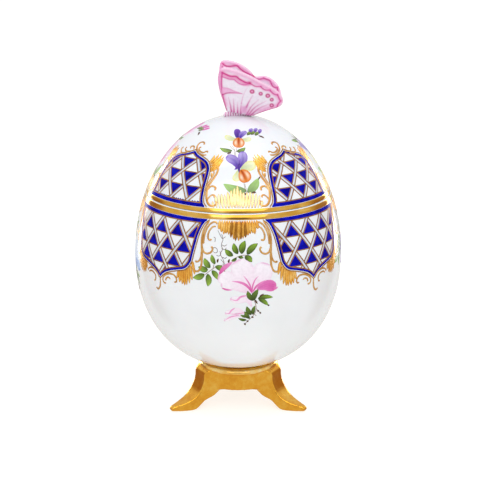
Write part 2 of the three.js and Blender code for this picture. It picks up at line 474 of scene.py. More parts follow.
def egg_rows(from_along, to_along, inset, count):
    """Rows of (radius, height) on the egg, or on its inside where there is an inset."""
    if not inset:
        along = np.linspace(from_along, to_along, count)
        return [(np.interp(a, OUT_ALONG, OUT_RADIUS), np.interp(a, OUT_ALONG, OUT_HEIGHT)) for a in along]
    radius, height = outline(inset)

    def level_angle(along):
        """How far round a quarter turn from the equator the egg's outline has come."""
        rise = np.interp(along, OUT_ALONG, OUT_HEIGHT) - EQUATOR
        reach = EQUATOR - height[0] if rise < 0 else height[-1] - EQUATOR
        return math.asin(np.clip(rise / reach, -1, 1))

    turn = np.linspace(level_angle(from_along), level_angle(to_along), count)
    rise = np.where(turn > 0, height[-1] - EQUATOR, EQUATOR - height[0])
    levels = EQUATOR + rise * np.sin(turn)
    return [(np.interp(z, height, radius), z) for z in levels]


RIM_ROUND = 0.35
FLANGE_OUTER, FLANGE_INNER = 33.0, 30.8
FLANGE_ROUND = 0.5
LIP_STEP = 0.22  # how far the lid's rim stands inside its outer edge
FLANGE_CHAMFER = 0.3
BAND = {"lid": (0.1, 1.75), "bowl": (-2.5, -0.44)}


def bowl_shell():
    """The bowl: outside, rounded rim and inside, turned as one closed shell."""
    bag = Bag()
    rim_top = SEAM - SEAM_GAP / 2
    rim_along = -RIM_ROUND - SEAM_GAP / 2
    outer = egg_rows(BOTTOM_ALONG, rim_along, 0, 150)
    edge = outer[-1]
    inner = egg_rows(rim_along, BOTTOM_ALONG, WALL, 90)
    rim = rounded((edge[0] - RIM_ROUND, rim_top - RIM_ROUND), RIM_ROUND, 20, 90)
    rim += rounded((inner[0][0] + RIM_ROUND, rim_top - RIM_ROUND), RIM_ROUND, 90, 180)
    outer[0] = (0, outer[0][1])
    inner[-1] = (0, inner[-1][1])
    bag.add(*revolve([*outer, *rim, *inner]))
    return bag


def lid_shell():
    """The lid: its dome, rounded rim, locating flange and inside, turned as one closed shell."""
    bag = Bag()
    rim = SEAM + SEAM_GAP / 2
    low_centre = lid_low.z + FLANGE_ROUND
    outer = egg_rows(RIM_ROUND + SEAM_GAP / 2, TOP_ALONG, 0, 110)
    edge = outer[0]
    inner_radius, inner_height = outline(WALL)
    above = inner_height > EQUATOR
    turn = np.linspace(math.pi / 2, math.asin(0.49), 60)
    inner = [(np.interp(z, inner_height[above], inner_radius[above]), z)
             for z in EQUATOR + (inner_height[-1] - EQUATOR) * np.sin(turn)]
    inner = [p for p in inner if p[0] < FLANGE_INNER]
    flange = [(FLANGE_INNER, inner[-1][1] - 1), (FLANGE_INNER, low_centre)]
    flange += rounded((FLANGE_INNER + FLANGE_ROUND, low_centre), FLANGE_ROUND, 180, 270)
    flange += rounded((FLANGE_OUTER - FLANGE_ROUND, low_centre), FLANGE_ROUND, 270, 360)
    flange += [(FLANGE_OUTER, rim - FLANGE_CHAMFER), (FLANGE_OUTER + FLANGE_CHAMFER, rim)]
    lip = rounded((edge[0] - LIP_STEP - RIM_ROUND, rim + RIM_ROUND), RIM_ROUND, -90, -10)
    inner[0] = (0, inner[0][1])
    outer[-1] = (0, outer[-1][1])
    bag.add(*revolve([*inner, *flange, *lip, *outer]))
    return bag


def gold_band(low, high, thickness=0.11):
    """A gold band round the egg: a closed ring with a full, rounded face."""
    bag = Bag()
    along = np.linspace(low, high, 15)
    across = 2 * (along - low) / (high - low) - 1
    lift = thickness * (1 - across**2) + 0.01
    lift[0] = lift[-1] = BURIED
    point = [on_egg(0.0, a, h) for a, h in zip(along, lift)]
    back = [on_egg(0.0, a, BURIED - 0.03) for a in (high, low)]
    bag.add(*revolve([(-p[1], p[2]) for p in [*point, *back]], closed=True))
    return bag


piece("bowl", bowl_shell(), porcelain, "base", ["bowl_shell"])
piece("lid", lid_shell(), porcelain, "lid", ["lid_shell"])
piece("bowl_gold_band", gold_band(*BAND["bowl"]), band_gold, "base")
piece("lid_gold_band", gold_band(*BAND["lid"]), band_gold, "lid")


# ---------------------------------------------------------------- lattice panels

class Lattice:
    """Where a lattice's rows start, their height, the spacing of its nodes, and how the rows shift."""

    def __init__(self, start, pitch, spacing, phase, drift=0.0):
        self.start, self.pitch, self.spacing, self.phase, self.drift = start, pitch, spacing, phase, drift


LID_HALF = [(15.6, 1.8), (14.1, 3.3), (13.2, 6.0), (12.5, 10.0), (11.7, 14.0), (10.5, 17.2), (8.4, 19.6),
            (5.6, 21.0), (2.6, 22.1), (0, 23.6)]
BOWL_HALF = [(19.3, -2.5), (17.7, -4.2), (16.5, -8.0), (15.9, -12.0), (15.3, -16.0), (14.5, -19.5),
             (12.3, -22.1),
             (8.6, -23.2), (4.9, -24.3), (2.2, -25.6), (0, -27.6)]
LID_LATTICES = (Lattice(3.35, 5.1, 7.95, 0.4), Lattice(3.8, 5.45, 8.2, -0.9, 0.45))
BOWL_LATTICES = (Lattice(-4.3, -5.75, 8.1, -0.9), Lattice(-4.2, -5.85, 8.05, -0.8, -0.1))
PANEL_LATTICE = {"front_right": 0, "front_left": 1, "back_right": 1, "back_left": 0}
BASE_BAND = 1.35  # depth of the blue band along a panel's base
BLUE_EDGE = 0.85
LINE = 0.4
OUTER_GAP = 0.24  # white between the blue edge and the gold line outside it
STRIP_WHITE, STRIP_GOLD = 0.4, 0.84
ROW_LINE = 0.19
CELL = 1.1  # longest edge of a panel's triangles
POINT_LEAN = 0.7  # the point of each lid panel was painted a little to the right


def panel_loop(half, distance):
    """A panel's closed outline moved inwards. Its base stays straight and gets the deeper band."""
    up = math.copysign(1, half[-1][1])
    side = smooth_line(half, 46)
    slope = np.gradient(side, axis=0)
    side_normal = up * np.column_stack([-slope[:, 1], slope[:, 0]]) / np.linalg.norm(slope, axis=1)[:, None]
    moved = side + side_normal * distance
    moved[-1] = (0, side[-1, 1] - up * distance * 1.25)
    floor = half[0][1] + up * (BASE_BAND + distance - BLUE_EDGE if distance >= BLUE_EDGE else 0)
    kept = moved[(up * (moved[:, 1] - floor) > 1e-3) & (moved[:, 0] >= 0)]
    right = np.vstack([[kept[0][0], floor], kept])
    loop = np.vstack([right, (right[:-1] * (-1, 1))[::-1]])
    return loop + np.column_stack([POINT_LEAN * np.clip((loop[:, 1] - 10) / 13, 0, 1), np.zeros(len(loop))])


def inside(loop, x, y):
    """Whether points lie inside a closed loop."""
    x1, y1 = loop[:, 0], loop[:, 1]
    x2, y2 = np.roll(x1, -1), np.roll(y1, -1)
    crosses = (y1[None] > y[:, None]) != (y2[None] > y[:, None])
    rise = np.where(y2 == y1, 1, y2 - y1)
    at = (x2 - x1)[None] * (y[:, None] - y1[None]) / rise[None] + x1[None]
    return (crosses & (x[:, None] < at)).sum(1) % 2 == 1


def divided(a, b):
    """Points from a to b, close enough together to follow the egg."""
    count = max(1, math.ceil(np.linalg.norm(np.subtract(b, a)) / CELL))
    return [tuple(np.add(a, np.subtract(b, a) * i / count)) for i in range(count + 1)]


def panel_regions(half, lattice):
    """The panel's drawing cut into triangles, as lists by region: gold, blue and white strip."""
    loops = [panel_loop(half, d) for d in (-OUTER_GAP - LINE, -OUTER_GAP, 0, BLUE_EDGE, BLUE_EDGE + LINE)]
    limit = np.abs(loops[0][:, 0]).max() + 1
    low, high = loops[0][:, 1].min(), loops[0][:, 1].max()
    slope = abs(lattice.pitch) / (lattice.spacing / 2)
    lean = math.hypot(slope, 1)
    points, edges = [], []

    def add_line(line, closed=False):
        start = len(points)
        points.extend(line)
        edges.extend((start + i, start + i + 1) for i in range(len(line) - 1))
        if closed:
            edges.append((start + len(line) - 1, start))

    def shifted(x, y):
        """x with the drift of its row, so that hand-set rows don't quite line up."""
        return x + lattice.drift * (y - lattice.start) / lattice.pitch

    for loop in loops:
        add_line([q for a, b in zip(loop, np.roll(loop, -1, axis=0)) for q in divided(a, b)[:-1]],
                 closed=True)
    for row in range(1, math.ceil((high - low) / abs(lattice.pitch))):
        for side in (-ROW_LINE, ROW_LINE):
            y = lattice.start + lattice.pitch * row + side
            add_line(divided((-limit, y), (limit, y)))
    count = math.ceil(3 * limit / lattice.spacing)
    for hand in (-1, 1):
        for k in range(-count, count + 1):
            for side in (-STRIP_GOLD, -STRIP_WHITE, STRIP_WHITE, STRIP_GOLD):
                cut = lattice.phase + k * lattice.spacing + side * lean / slope
                ends = [(shifted(cut + hand * (y - lattice.start) / slope, y), y) for y in (low, high)]
                if min(abs(x) for x, _ in ends) < 2 * limit:
                    add_line(divided(*ends))
    points.extend((x, y) for x in np.arange(-limit, limit, CELL) for y in np.arange(low, high, CELL))
    flat, _, triangles, *_ = delaunay_2d_cdt([Vector(p) for p in points], edges, [], 0, 1e-4, False)
    flat = np.array([tuple(p) for p in flat])
    middle = flat[np.array([tuple(t) for t in triangles])].mean(1)
    x, y = middle[:, 0], middle[:, 1]
    within = [inside(loop, x, y) for loop in loops]
    row = (y - lattice.start) / lattice.pitch
    x = x - lattice.drift * row - lattice.phase

    def strip(hand):
        offset = x - hand * (y - lattice.start) / slope
        return np.abs((offset + lattice.spacing / 2) % lattice.spacing - lattice.spacing / 2) * slope / lean

    rising_over = np.round(row).astype(int) % 2 == 0
    over = np.where(rising_over, strip(1), strip(-1))
    under = np.where(rising_over, strip(-1), strip(1))
    phase = (x / lattice.spacing - 0.5 * (np.floor(row) % 2)) % 1.0
    region = np.full(len(x), "open", dtype=object)
    region[np.minimum(phase, 1 - phase) < (row - np.floor(row)) / 2] = "blue"
    region[(np.abs(row - np.round(row)) * abs(lattice.pitch) < ROW_LINE) & (np.round(row) > 0)] = "gold"
    for distance in (under, over):
        region[distance < STRIP_GOLD] = "gold"
        region[distance < STRIP_WHITE] = "strip"
    region[within[3] & ~within[4]] = "gold"
    region[within[2] & ~within[3]] = "blue"
    region[within[1] & ~within[2]] = "open"
    region[within[0] & ~within[1]] = "gold"
    region[~within[0]] = "open"
    return flat, {name: [tuple(t) for t, r in zip(triangles, region) if r == name] for name in REGIONS}


REGIONS = {
    "gold": (0.075, line_gold, "gold_paint"),
    "blue": (0.03, cobalt, "cobalt_enamel"),
    "strip": (0.045, strip_white, "porcelain"),
}

for body, part, half, lattices in (("lid", "lid", LID_HALF, LID_LATTICES),
                                   ("base", "bowl", BOWL_HALF, BOWL_LATTICES)):
    cuts = [panel_regions(half, lattice) for lattice in lattices]
    for region, (top, material, slot) in REGIONS.items():
        bag = Bag()
        for where, angle in PANEL_ANGLES.items():
            flat, triangles = cuts[PANEL_LATTICE[where]]
            plate(bag, egg_chart(angle + (BOWL_TURNS[where] if part == "bowl" else 0)), flat,
                  triangles[region], top)
        piece(f"{part}_lattice_{region}", bag, material, body)


# ---------------------------------------------------------------- gold scrolls, fringes and tufts

SCROLL_LIFT, SCROLL_RELIEF = 0.03, 0.05


def scroll(bag, chart, points, half_width, ball):
    """A raised gold scroll that thins towards its ends and may close with a dot."""
    brush(bag, chart, points, 1.55 * half_width, "line", gilt, SCROLL_LIFT, SCROLL_RELIEF, steps=30,
          across=SCROLL_ACROSS, ball=1.2 * ball)


def gilt(u, v):
    """Gold that is darker and browner along the edges of a stroke than in its middle."""
    rim = np.clip((np.abs(v) - 0.5) / 0.5, 0, 1)[..., None]
    return 1 - rim * (0.42, 0.56, 0.7)


def gilt_leaf(u, v):
    """Gold with a fine brown outline, darker towards its root."""
    rim = np.clip((np.maximum(np.abs(v), 1.1 * u**6) - 0.55) / 0.3, 0, 1)[..., None]
    root = np.clip((0.3 - u) / 0.3, 0, 1)[..., None]
    return (1 - rim * (0.5, 0.64, 0.78)) * (1 - root * (0.12, 0.2, 0.3))


def bronze_leaf(u, v):
    """A strand of gold made much darker and browner."""
    return gilt_leaf(u, v) * (0.5, 0.4, 0.26)


# Each scroll is a line of points, a half-width and the radius of the dot that ends it
LID_SCROLLS = [
    # the branch and the inner curl of the S on the left
    ([(-12.9, 16.2), (-13.6, 15.8), (-13.9, 14.4), (-13.6, 12.6), (-13.2, 10.4), (-13.2, 8.2), (-13.8, 6.0)],
     0.2, 0.0),
    ([(-15.4, 4.6), (-15.9, 5.9), (-16.7, 6.7), (-17.6, 6.5), (-17.8, 5.7)], 0.22, 0.36),
    # hook and curls above the point
    ([(-7.0, 22.6), (-5.4, 22.3), (-3.6, 22.6), (-1.9, 23.5), (-0.6, 24.9), (-0.1, 26.6), (-0.6, 27.8),
      (-1.7, 28.1), (-2.6, 27.5), (-2.7, 26.7)], 0.27, 0.32),
    ([(-6.8, 23.6), (-5.9, 24.2), (-4.9, 23.4), (-3.4, 23.6), (-2.1, 24.4), (-1.8, 25.3), (-2.5, 25.7)],
     0.25, 0.34),
    ([(0.4, 23.9), (0.9, 25.0), (2.0, 25.4), (2.8, 24.8), (2.3, 24.0)], 0.24, 0.34),
    ([(0.8, 23.3), (2.4, 22.7), (4.2, 22.6), (5.2, 23.4), (4.8, 24.3)], 0.24, 0.34),
    ([(2.8, 21.9), (5.2, 21.3), (7.0, 21.7), (7.7, 22.9), (7.0, 23.8)], 0.26, 0.32),
]
LID_SIDE_SCROLLS = [
    # the S beside the panel, and the curl that springs from it
    ([(11.9, 16.3), (12.1, 17.7), (13.2, 18.3), (14.4, 17.3), (14.9, 15.5), (14.7, 13.4), (14.2, 11.4),
      (13.9, 9.4), (14.2, 7.4), (14.9, 5.4), (15.9, 3.6), (17.3, 2.6), (18.7, 2.6), (19.5, 3.5), (19.0, 4.5),
      (18.1, 4.3)], 0.3, 0.0),
    ([(14.1, 8.6), (14.9, 9.9), (16.1, 10.0), (17.0, 9.3), (17.0, 8.4)], 0.25, 0.36),
]
BOWL_SCROLLS = [
    # more curls on the left
    ([(-22.8, -5.0), (-21.6, -5.2), (-20.7, -6.4), (-20.3, -8.2), (-20.6, -9.7), (-21.4, -10.3),
      (-22.0, -9.7)],
     0.24, 0.34),
    ([(-18.7, -14.6), (-18.7, -16.8), (-18.1, -18.4), (-17.1, -18.9), (-16.6, -18.4)], 0.24, 0.38),
    # below the point
    ([(0.1, -27.9), (0.0, -29.4), (0.3, -31.4), (1.2, -32.8), (2.2, -33.0), (2.6, -32.3)], 0.26, 0.36),
    ([(-7.1, -28.3), (-8.3, -28.2), (-8.5, -26.9), (-7.4, -25.6), (-5.2, -25.4), (-3.1, -26.2), (-1.7, -27.6),
      (-1.6, -29.0), (-2.5, -29.8), (-3.2, -29.2)], 0.26, 0.34),
    ([(-5.6, -27.5), (-4.5, -27.0), (-3.4, -27.6), (-3.0, -28.7)], 0.22, 0.34),
    ([(0.5, -28.2), (1.4, -26.7), (3.4, -25.5), (5.8, -25.3), (7.6, -26.1), (7.9, -27.1)], 0.26, 0.34),
    ([(7.3, -27.4), (6.0, -26.6), (4.0, -26.8), (2.8, -28.0), (3.0, -29.5), (3.9, -30.1)], 0.24, 0.36),
]
BOWL_SIDE_SCROLLS = [
    # the outer line, the curl that springs from it, and its parallel
    ([(19.9, -2.9), (18.9, -4.6), (18.2, -7.2), (18.2, -10.4), (18.7, -13.6), (19.1, -17.0), (19.1, -20.0),
      (18.4, -22.0), (17.2, -22.7), (16.2, -22.0), (16.5, -20.8)], 0.3, 0.36),
    ([(18.8, -13.2), (19.6, -14.8), (21.0, -15.4), (22.4, -14.8), (22.9, -13.5), (22.2, -12.5)], 0.26, 0.36),
    ([(23.0, -4.4), (22.4, -3.5), (21.2, -3.5), (20.0, -4.6), (19.2, -6.6), (18.9, -9.2), (19.1, -12.0)],
     0.26, 0.36),
]


def scrolls(bag, chart, middle, sides):
    """A panel's scrolls: those drawn once, and those drawn on both sides of it."""
    for points, half_width, ball in middle:
        scroll(bag, chart, points, half_width, ball)
    for points, half_width, ball in sides:
        for side in (-1, 1):
            scroll(bag, chart, [(side * x, y) for x, y in points], half_width, ball)


def blades(bag, chart, roots, tips, half_width, seed, spread, kind="blade", bend=0.0, bronze_within=0.0):
    """Overlapping gold blades from roots to tips. Near the middle every second one may be bronze."""
    jitter = random.Random(seed)
    for i, (root, tip) in enumerate(zip(roots, tips)):
        lean = np.subtract(tip, root)
        middle = np.add(root, tip) / 2 + bend * np.array([-lean[1], lean[0]])
        middle = middle + (jitter.uniform(-spread, spread) / 2, 0)
        end = np.add(tip, (jitter.uniform(-spread, spread), jitter.uniform(-spread, spread)))
        paint = bronze_leaf if i % 2 and bronze_within > abs(tip[0]) else gilt_leaf
        brush(bag, chart, [root, middle, end], half_width * jitter.uniform(0.85, 1.15), kind, paint,
              SCROLL_LIFT + 0.03 * (i % 3) / 2, 0.03, steps=10, across=LEAF_ACROSS)


def row_of(profile, count):
    """Evenly spaced points along a profile of (x, y)."""
    x = np.linspace(profile[0][0], profile[-1][0], count)
    return list(zip(x, graph(x, profile)))


LID_FRINGE = [(-9.8, 4.4), (-8.6, 6.8), (-7, 7.7), (-5, 7.4), (-3.4, 8.8), (-1.8, 9.8), (-0.7, 11.4),
              (0.4, 10.2),
              (1.6, 8.4), (3.0, 8.2), (4.6, 8.6), (6.8, 7.8), (8.0, 6.8), (9.2, 4.6)]
BOWL_FRINGE = [(-7.2, -6.2), (-5.5, -8), (-4, -7.6), (-2.7, -9.2), (-1, -10.3), (0.2, -10.5), (1.5, -9.6),
               (3, -9),
               (5, -7.6), (6.5, -8), (7.3, -6)]


def fringes(bag, chart, profile, root_level, seed, half_width, count, bronze_within=0.0):
    """Two overlapping rows of blades that stand on a band and splay a little, the front row shorter."""
    for row, reach in enumerate((1.0, 0.66)):
        tips = row_of([(x, root_level + reach * (y - root_level)) for x, y in profile], count - row)
        roots = [(0.94 * x, root_level) for x, _ in tips]
        blades(bag, chart, roots, tips, half_width * (1 - 0.25 * row), seed + row, 0.14,
               bronze_within=bronze_within)


def lid_tuft(bag, chart, side, seed):
    """A fan of leaves on the shoulder of a lid panel."""
    fan = [((-11.9, 15.6), (-14.6, 19.4)), ((-11.7, 16.2), (-14.6, 21.2)), ((-11.3, 16.8), (-14.0, 22.6)),
           ((-10.9, 17.6), (-12.9, 23.5)), ((-10.4, 18.4), (-11.5, 23.6)), ((-9.8, 19.0), (-10.1, 22.9))]
    blades(bag, chart, [(side * -x, y) for (x, y), _ in fan], [(side * -x, y) for _, (x, y) in fan],
           0.66, seed, 0.05, "leaf", -0.1 * side)


def bowl_tuft(bag, chart, side, seed):
    """A tassel of blades that hangs from the lower corner of a bowl panel."""
    tips = row_of([(8.8, -26.7), (10.0, -28.3), (11.5, -29.0), (13.0, -29.1), (14.4, -28.0), (15.6, -26.2),
                   (16.6, -24.0)], 8)
    roots = row_of([(9.6, -23.2), (12.4, -22.4), (14.4, -20.6), (15.3, -18.8)], 8)
    blades(bag, chart, [(side * x, y) for x, y in roots], [(side * x, y) for x, y in tips], 0.74, seed, 0.14,
           "tassel")


lid_gold, bowl_gold, lid_bright, bowl_bright, lid_highlit_fringe = Bag(), Bag(), Bag(), Bag(), Bag()
for number, (where, angle) in enumerate(PANEL_ANGLES.items()):
    chart = egg_chart(angle, mirrored=where in ("front_left", "back_right"))
    scrolls(lid_gold, chart, LID_SCROLLS, LID_SIDE_SCROLLS)
    bowl_chart = egg_chart(angle + BOWL_TURNS[where], mirrored=where in ("front_left", "back_right"))
    scrolls(bowl_gold, bowl_chart, BOWL_SCROLLS, BOWL_SIDE_SCROLLS)
    brush(lid_gold, chart, [(-13.8, 13.4), (-13.2, 14.6), (-12.6, 15.4)], 0.5, "leaf", gilt, 0.03, 0.05,
          steps=8)
    for side in (-1, 1):
        lid_tuft(lid_bright, chart, side, 10 * number + side)
        bowl_tuft(bowl_bright, bowl_chart, side, 40 * number + side)
for number, angle in enumerate(SPRAY_ANGLES):
    fringes(lid_highlit_fringe, egg_chart(angle), LID_FRINGE, BAND["lid"][1], 70 + number, 0.56, 17)
    fringes(bowl_bright, egg_chart(angle), BOWL_FRINGE, BAND["bowl"][0], 90 + number, 0.66, 17, 3.4)
piece("lid_scrolls", lid_gold, scroll_gold, "lid")
piece("bowl_scrolls", bowl_gold, scroll_gold, "base")
piece("lid_leaf_gilding", lid_bright, leaf_gold, "lid")
# The lid's fringes wear the pale gold, whose light colour is a painted highlight
piece("lid_fringe_gilding", lid_highlit_fringe, highlit_pale_gold, "lid")
piece("bowl_leaf_gilding", bowl_bright, leaf_gold, "base")


# ---------------------------------------------------------------- flowers

GREEN = wash("2c3e0c", "8cb23a", edge="2a3a0c", vein="2e420e", edge_share=0.9, vein_share=0.35, lean=0.35)
BRIGHT_GREEN = wash("44601a", "9cc04a", edge="34481a", vein="3c5018", edge_share=0.85, vein_share=0.35,
                    lean=0.3)
LIGHT_GREEN = wash("3c4838", "a6cc78", edge="8aae58", vein="7c9c54", edge_share=0.4, vein_share=0.5,
                   power=0.45)
BUD_GREEN = wash("2f3c14", "86a04c", edge="44561e", vein="9cb45c", vein_share=0.4)
DARK_GREEN = wash("2c3c10", "6c8c30", edge="2a380e", vein="243010", edge_share=0.8, vein_share=0.35)
RUST = wash("a83810", "c85a1c")
BROWN = wash("3a2418", "6a4330")
FAINT_BROWN = wash("8a7468", "a08c80")
VIOLET = wash("4a1c9c", "bfb0e4", edge="7648bc", vein="42189a", edge_share=0.85, vein_share=0.9,
              vein_width=0.3,
              power=1.4, lean=0.12)
DEEP_VIOLET = wash("34187c", "7448b4", edge="6c48b0", vein="2c1470", vein_width=0.4)
PALE_YELLOW = wash("b4c092", "eef0cc", edge="e4e06c", vein="c2cca0", edge_share=0.85, vein_share=0.4,
                   streaks=0.03)


def orange_lip(u, v):
    """A pansy's lower petal: orange with a pale patch on each side of its dark middle streak."""
    colour = np.broadcast_to(srgb("dc7808"), (*np.shape(v), 3))
    patch = (np.exp(-(((np.abs(v) - 0.5) / 0.22) ** 2) - ((u - 0.52) / 0.24) ** 2) * 0.95)[..., None]
    streak = (np.exp(-((v / 0.2) ** 2)) * np.clip(1.15 - u, 0, 1))[..., None]
    rim = (np.maximum(np.abs(v), u**3) ** 6 * 0.7)[..., None]
    colour = colour * (1 - patch) + srgb("f8e2c8") * patch
    colour = colour * (1 - streak) + srgb("9c4404") * streak
    return colour * (1 - rim) + srgb("c86404") * rim


PINK = wash("d368ae", "f3d9ea", edge="f0c4e0", vein="e29cca", edge_share=0.7, vein_share=0.4)
PALE_PINK = wash("e7b6d8", "f1e6f1", edge="ecd0e6", vein="e4b4d6", edge_share=0.6, vein_share=0.35)
STRONG_PINK = wash("d978b8", "ce4f9e", edge="e9a8d2", vein="d25aa6", edge_share=0.35, vein_share=0.5)
BLUE = wash("4d78c8", "b4cdf0", edge="8fb2e6", vein="3f64b4", edge_share=0.5)


def bent(root, tip, bend):
    """Root, a middle point moved sideways by a share of the length, and tip."""
    root, tip = np.array(root, float), np.array(tip, float)
    along = tip - root
    return [root, (root + tip) / 2 + bend * np.array([-along[1], along[0]]), tip]


def leaf(bag, chart, root, tip, half_width, paint, bend=0.08, lift=0.03):
    """A pointed leaf, bent sideways by a share of its length."""
    brush(bag, chart, bent(root, tip, bend), half_width, "leaf", paint, lift, 0.02, steps=12)


def petal(bag, chart, root, tip, half_width, paint, bend, lift=0.03, kind="petal"):
    """A petal that is widest towards its tip."""
    brush(bag, chart, bent(root, tip, bend), half_width, kind, paint, lift, 0.02, steps=18,
          across=PETAL_ACROSS)


def stem(bag, chart, points, half_width=0.12, paint=FAINT_BROWN):
    """A thin painted line."""
    brush(bag, chart, points, half_width, "line", paint, 0.02, 0.01, steps=24, across=SCROLL_ACROSS)


def lid_spray(bag, chart, upper, lower, side, buds, with_top=True):
    """The lid's spray: two pansies one above the other, with leaves and a row of buds."""
    for points in ([(2.6, 7.2), (2.4, 9.5), (2.1, 12.0)], [(3.2, 7.4), (2.9, 9.4), (2.5, 11.4)],
                   [(-0.3, 19.5), (-1.4, 23.0), (-1.3, 25.4), (-2.4, 27.8)],
                   [(-0.8, 22.0), (-0.9, 24.4), (-0.4, 26.8)], [(-1.2, 25.2), (-2.6, 26.6), (-3.0, 27.6)]):
        stem(bag, chart, points)
    for root, tip, width, paint, bend in (
        ((3.2, 8.6), (-5.6, 11.2), 1.9, LIGHT_GREEN, 0.1),
        ((3.4, 8.0), (7.6, 13.4), 1.8, LIGHT_GREEN, -0.1),
        ((7.6, 12.6), (8.7, 14.2), 0.28, BROWN, 0.08),
        ((5.0, 7.6), (6.8, 7.9), 0.5, BROWN, 0.08),
        ((2.2, 6.9), (3.2, 7.7), 0.4, BROWN, 0.08),
        ((-2.2, 25.3), (-7.2, 26.3), 1.05, BRIGHT_GREEN, 0.1),
        ((-2.6, 24.9), (-4.4, 23.7), 0.45, BROWN, 0.1),
        ((-0.7, 24.9), (2.8, 26.8), 1.05, GREEN, -0.12),
    ):
        leaf(bag, chart, root, tip, width, paint, bend)
    for root, tip, width, paint, bend, lift in (
        ((0.2, 17.4), (-4.5, 22.6), 2.0, upper[0], -0.16, 0.03),
        ((0.5, 17.6), (1.5, 24.9), 1.9, upper[0], -0.1, 0.035),
        ((0.4, 17.4), (-1.6, 12.6), 1.55, side, 0.12, 0.035),
        ((0.9, 17.2), (6.6, 18.8), 2.2, side, 0.08, 0.04),
    ):
        petal(bag, chart, root, tip, width, paint, bend, lift)
    leaf(bag, chart, (0.6, 19.9), (-1.4, 17.0), 0.7, upper[1], 0.1, 0.05)
    leaf(bag, chart, (0.4, 15.6), (0.8, 21.8), 0.55, upper[1], 0.05, 0.05)
    petal(bag, chart, (0.9, 17.0), (3.2, 11.9), 2.5, lower, 0.05, 0.05, "round")
    leaf(bag, chart, (1.3, 16.6), (2.4, 13.2), 0.35, RUST, 0.05, 0.08)
    if with_top:
        lid_spray_top(bag, chart, upper, lower, side, buds)


def lid_spray_top(bag, chart, upper, lower, side, buds):
    """The small pansy at the top of a lid's spray, and the row of buds beside it."""
    stem(bag, chart, [(3.0, 33.4), (6.0, 33.2), (8.2, 32.6), (10.2, 31.0)])
    for root, tip, width, paint, bend, lift in (
        ((-0.6, 30.9), (-5.0, 32.6), 1.35, side, 0.1, 0.03),
        ((1.2, 30.9), (4.9, 31.1), 1.15, side, -0.1, 0.03),
        ((-0.1, 30.8), (-0.4, 36.9), 1.35, upper[1], 0.0, 0.04),
        ((0.6, 31.2), (3.0, 35.4), 1.3, upper[0], 0.1, 0.05),
    ):
        petal(bag, chart, root, tip, width, paint, bend, lift)
    petal(bag, chart, (0.2, 31.9), (0.2, 26.7), 2.35, lower, 0.0, 0.05, "round")
    leaf(bag, chart, (0.2, 31.2), (0.1, 28.0), 0.35, RUST, 0.0, 0.08)
    for x, y in ((4.9, 35.0), (6.9, 34.9), (8.8, 34.0)):
        petal(bag, chart, (x - 0.5, y - 0.7), (x + 0.4, y + 1.9), 0.95, buds, 0.0)
    for x, y in ((4.2, 33.9), (5.8, 34.0), (7.4, 33.4)):
        petal(bag, chart, (x - 0.7, y - 0.9), (x + 0.5, y + 1.0), 0.85, BUD_GREEN, 0.0, 0.04)
    leaf(bag, chart, (8.2, 32.2), (10.5, 30.6), 0.4, BROWN)


def bowl_sprigs(bag, chart):
    """The leafy sprigs and thin tendrils above the bowl's flower."""
    for points in (
        [(-6.3, -7.5), (-5.7, -9.7), (-6.3, -11.7), (-5.9, -13.5), (-6.7, -15.3), (-5.7, -17.2),
         (-4.9, -19.6)],
        [(-7.7, -6.3), (-6.6, -8.4), (-5.9, -9.4), (-4.6, -8.6)],
        [(-9.2, -9.0), (-8.6, -9.5), (-8.8, -10.9)],
        [(-9.6, -13.4), (-8.9, -12.9), (-8.0, -13.4), (-7.9, -14.6), (-8.8, -14.9), (-9.5, -14.4)],
        [(-6.1, -11.8), (-5.2, -12.2), (-4.2, -11.6)],
        [(-6.3, -13.2), (-5.0, -13.5), (-4.4, -12.8)],
        [(-8.3, -15.8), (-7.1, -16.0), (-6.5, -15.0), (-7.0, -14.2)],
        [(-6.0, -16.4), (-4.9, -16.8), (-4.2, -16.2)],
        [(-6.6, -17.2), (-5.6, -18.4), (-5.7, -19.4)],
    ):
        stem(bag, chart, points, 0.11, BROWN)
    for points in ([(-13.6, -24.4), (-10.6, -21.8), (-8.6, -20.4), (-6.6, -19.6), (-4.0, -19.0)],
                   [(-9.6, -21.4), (-9.2, -19.6), (-9.0, -18.2)],
                   [(-2.4, -17.4), (0.4, -15.9), (3.2, -15.6), (5.4, -16.8)],
                   [(5.9, -33.0), (6.7, -35.5), (6.6, -38.0), (5.2, -40.6)],
                   [(6.6, -36.5), (7.6, -37.8), (8.4, -38.6)], [(6.0, -39.0), (6.9, -40.0)],
                   [(5.2, -40.4), (4.0, -41.6), (2.6, -43.2)]):
        stem(bag, chart, points, 0.14)
    for root, tip, width in (
        ((-10.6, -20.8), (-12.9, -17.2), 1.3), ((-11.4, -21.6), (-15.4, -20.8), 1.3),
        ((-8.7, -19.2), (-10.0, -15.6), 0.98),
        ((-8.7, -20.1), (-4.9, -21.8), 1.15), ((-10.0, -21.7), (-7.7, -25.1), 1.15),
        ((-12.9, -23.3), (-17.6, -25.3), 1.3), ((-11.6, -23.1), (-11.6, -28.1), 1.3),
        ((-1.9, -15.8), (-4.9, -13.4), 1.1), ((-0.1, -15.1), (-1.7, -11.0), 1.15),
        ((1.3, -15.1), (2.6, -10.1), 1.4),
        ((3.3, -15.4), (7.4, -11.3), 1.35), ((2.4, -16.0), (5.2, -18.2), 1.25),
    ):
        leaf(bag, chart, root, tip, width, GREEN if root[1] > -17 else BRIGHT_GREEN)
    for root, tip in (((-0.6, -16.6), (-2.6, -17.8)), ((0.0, -16.3), (2.0, -16.6))):
        leaf(bag, chart, root, tip, 0.65, DARK_GREEN)
    for x, y in ((-7.6, -17.8), (-3.4, -17.8)):
        leaf(bag, chart, (x - 0.2, y - 0.8), (x + 0.2, y + 0.8), 0.4, BROWN)


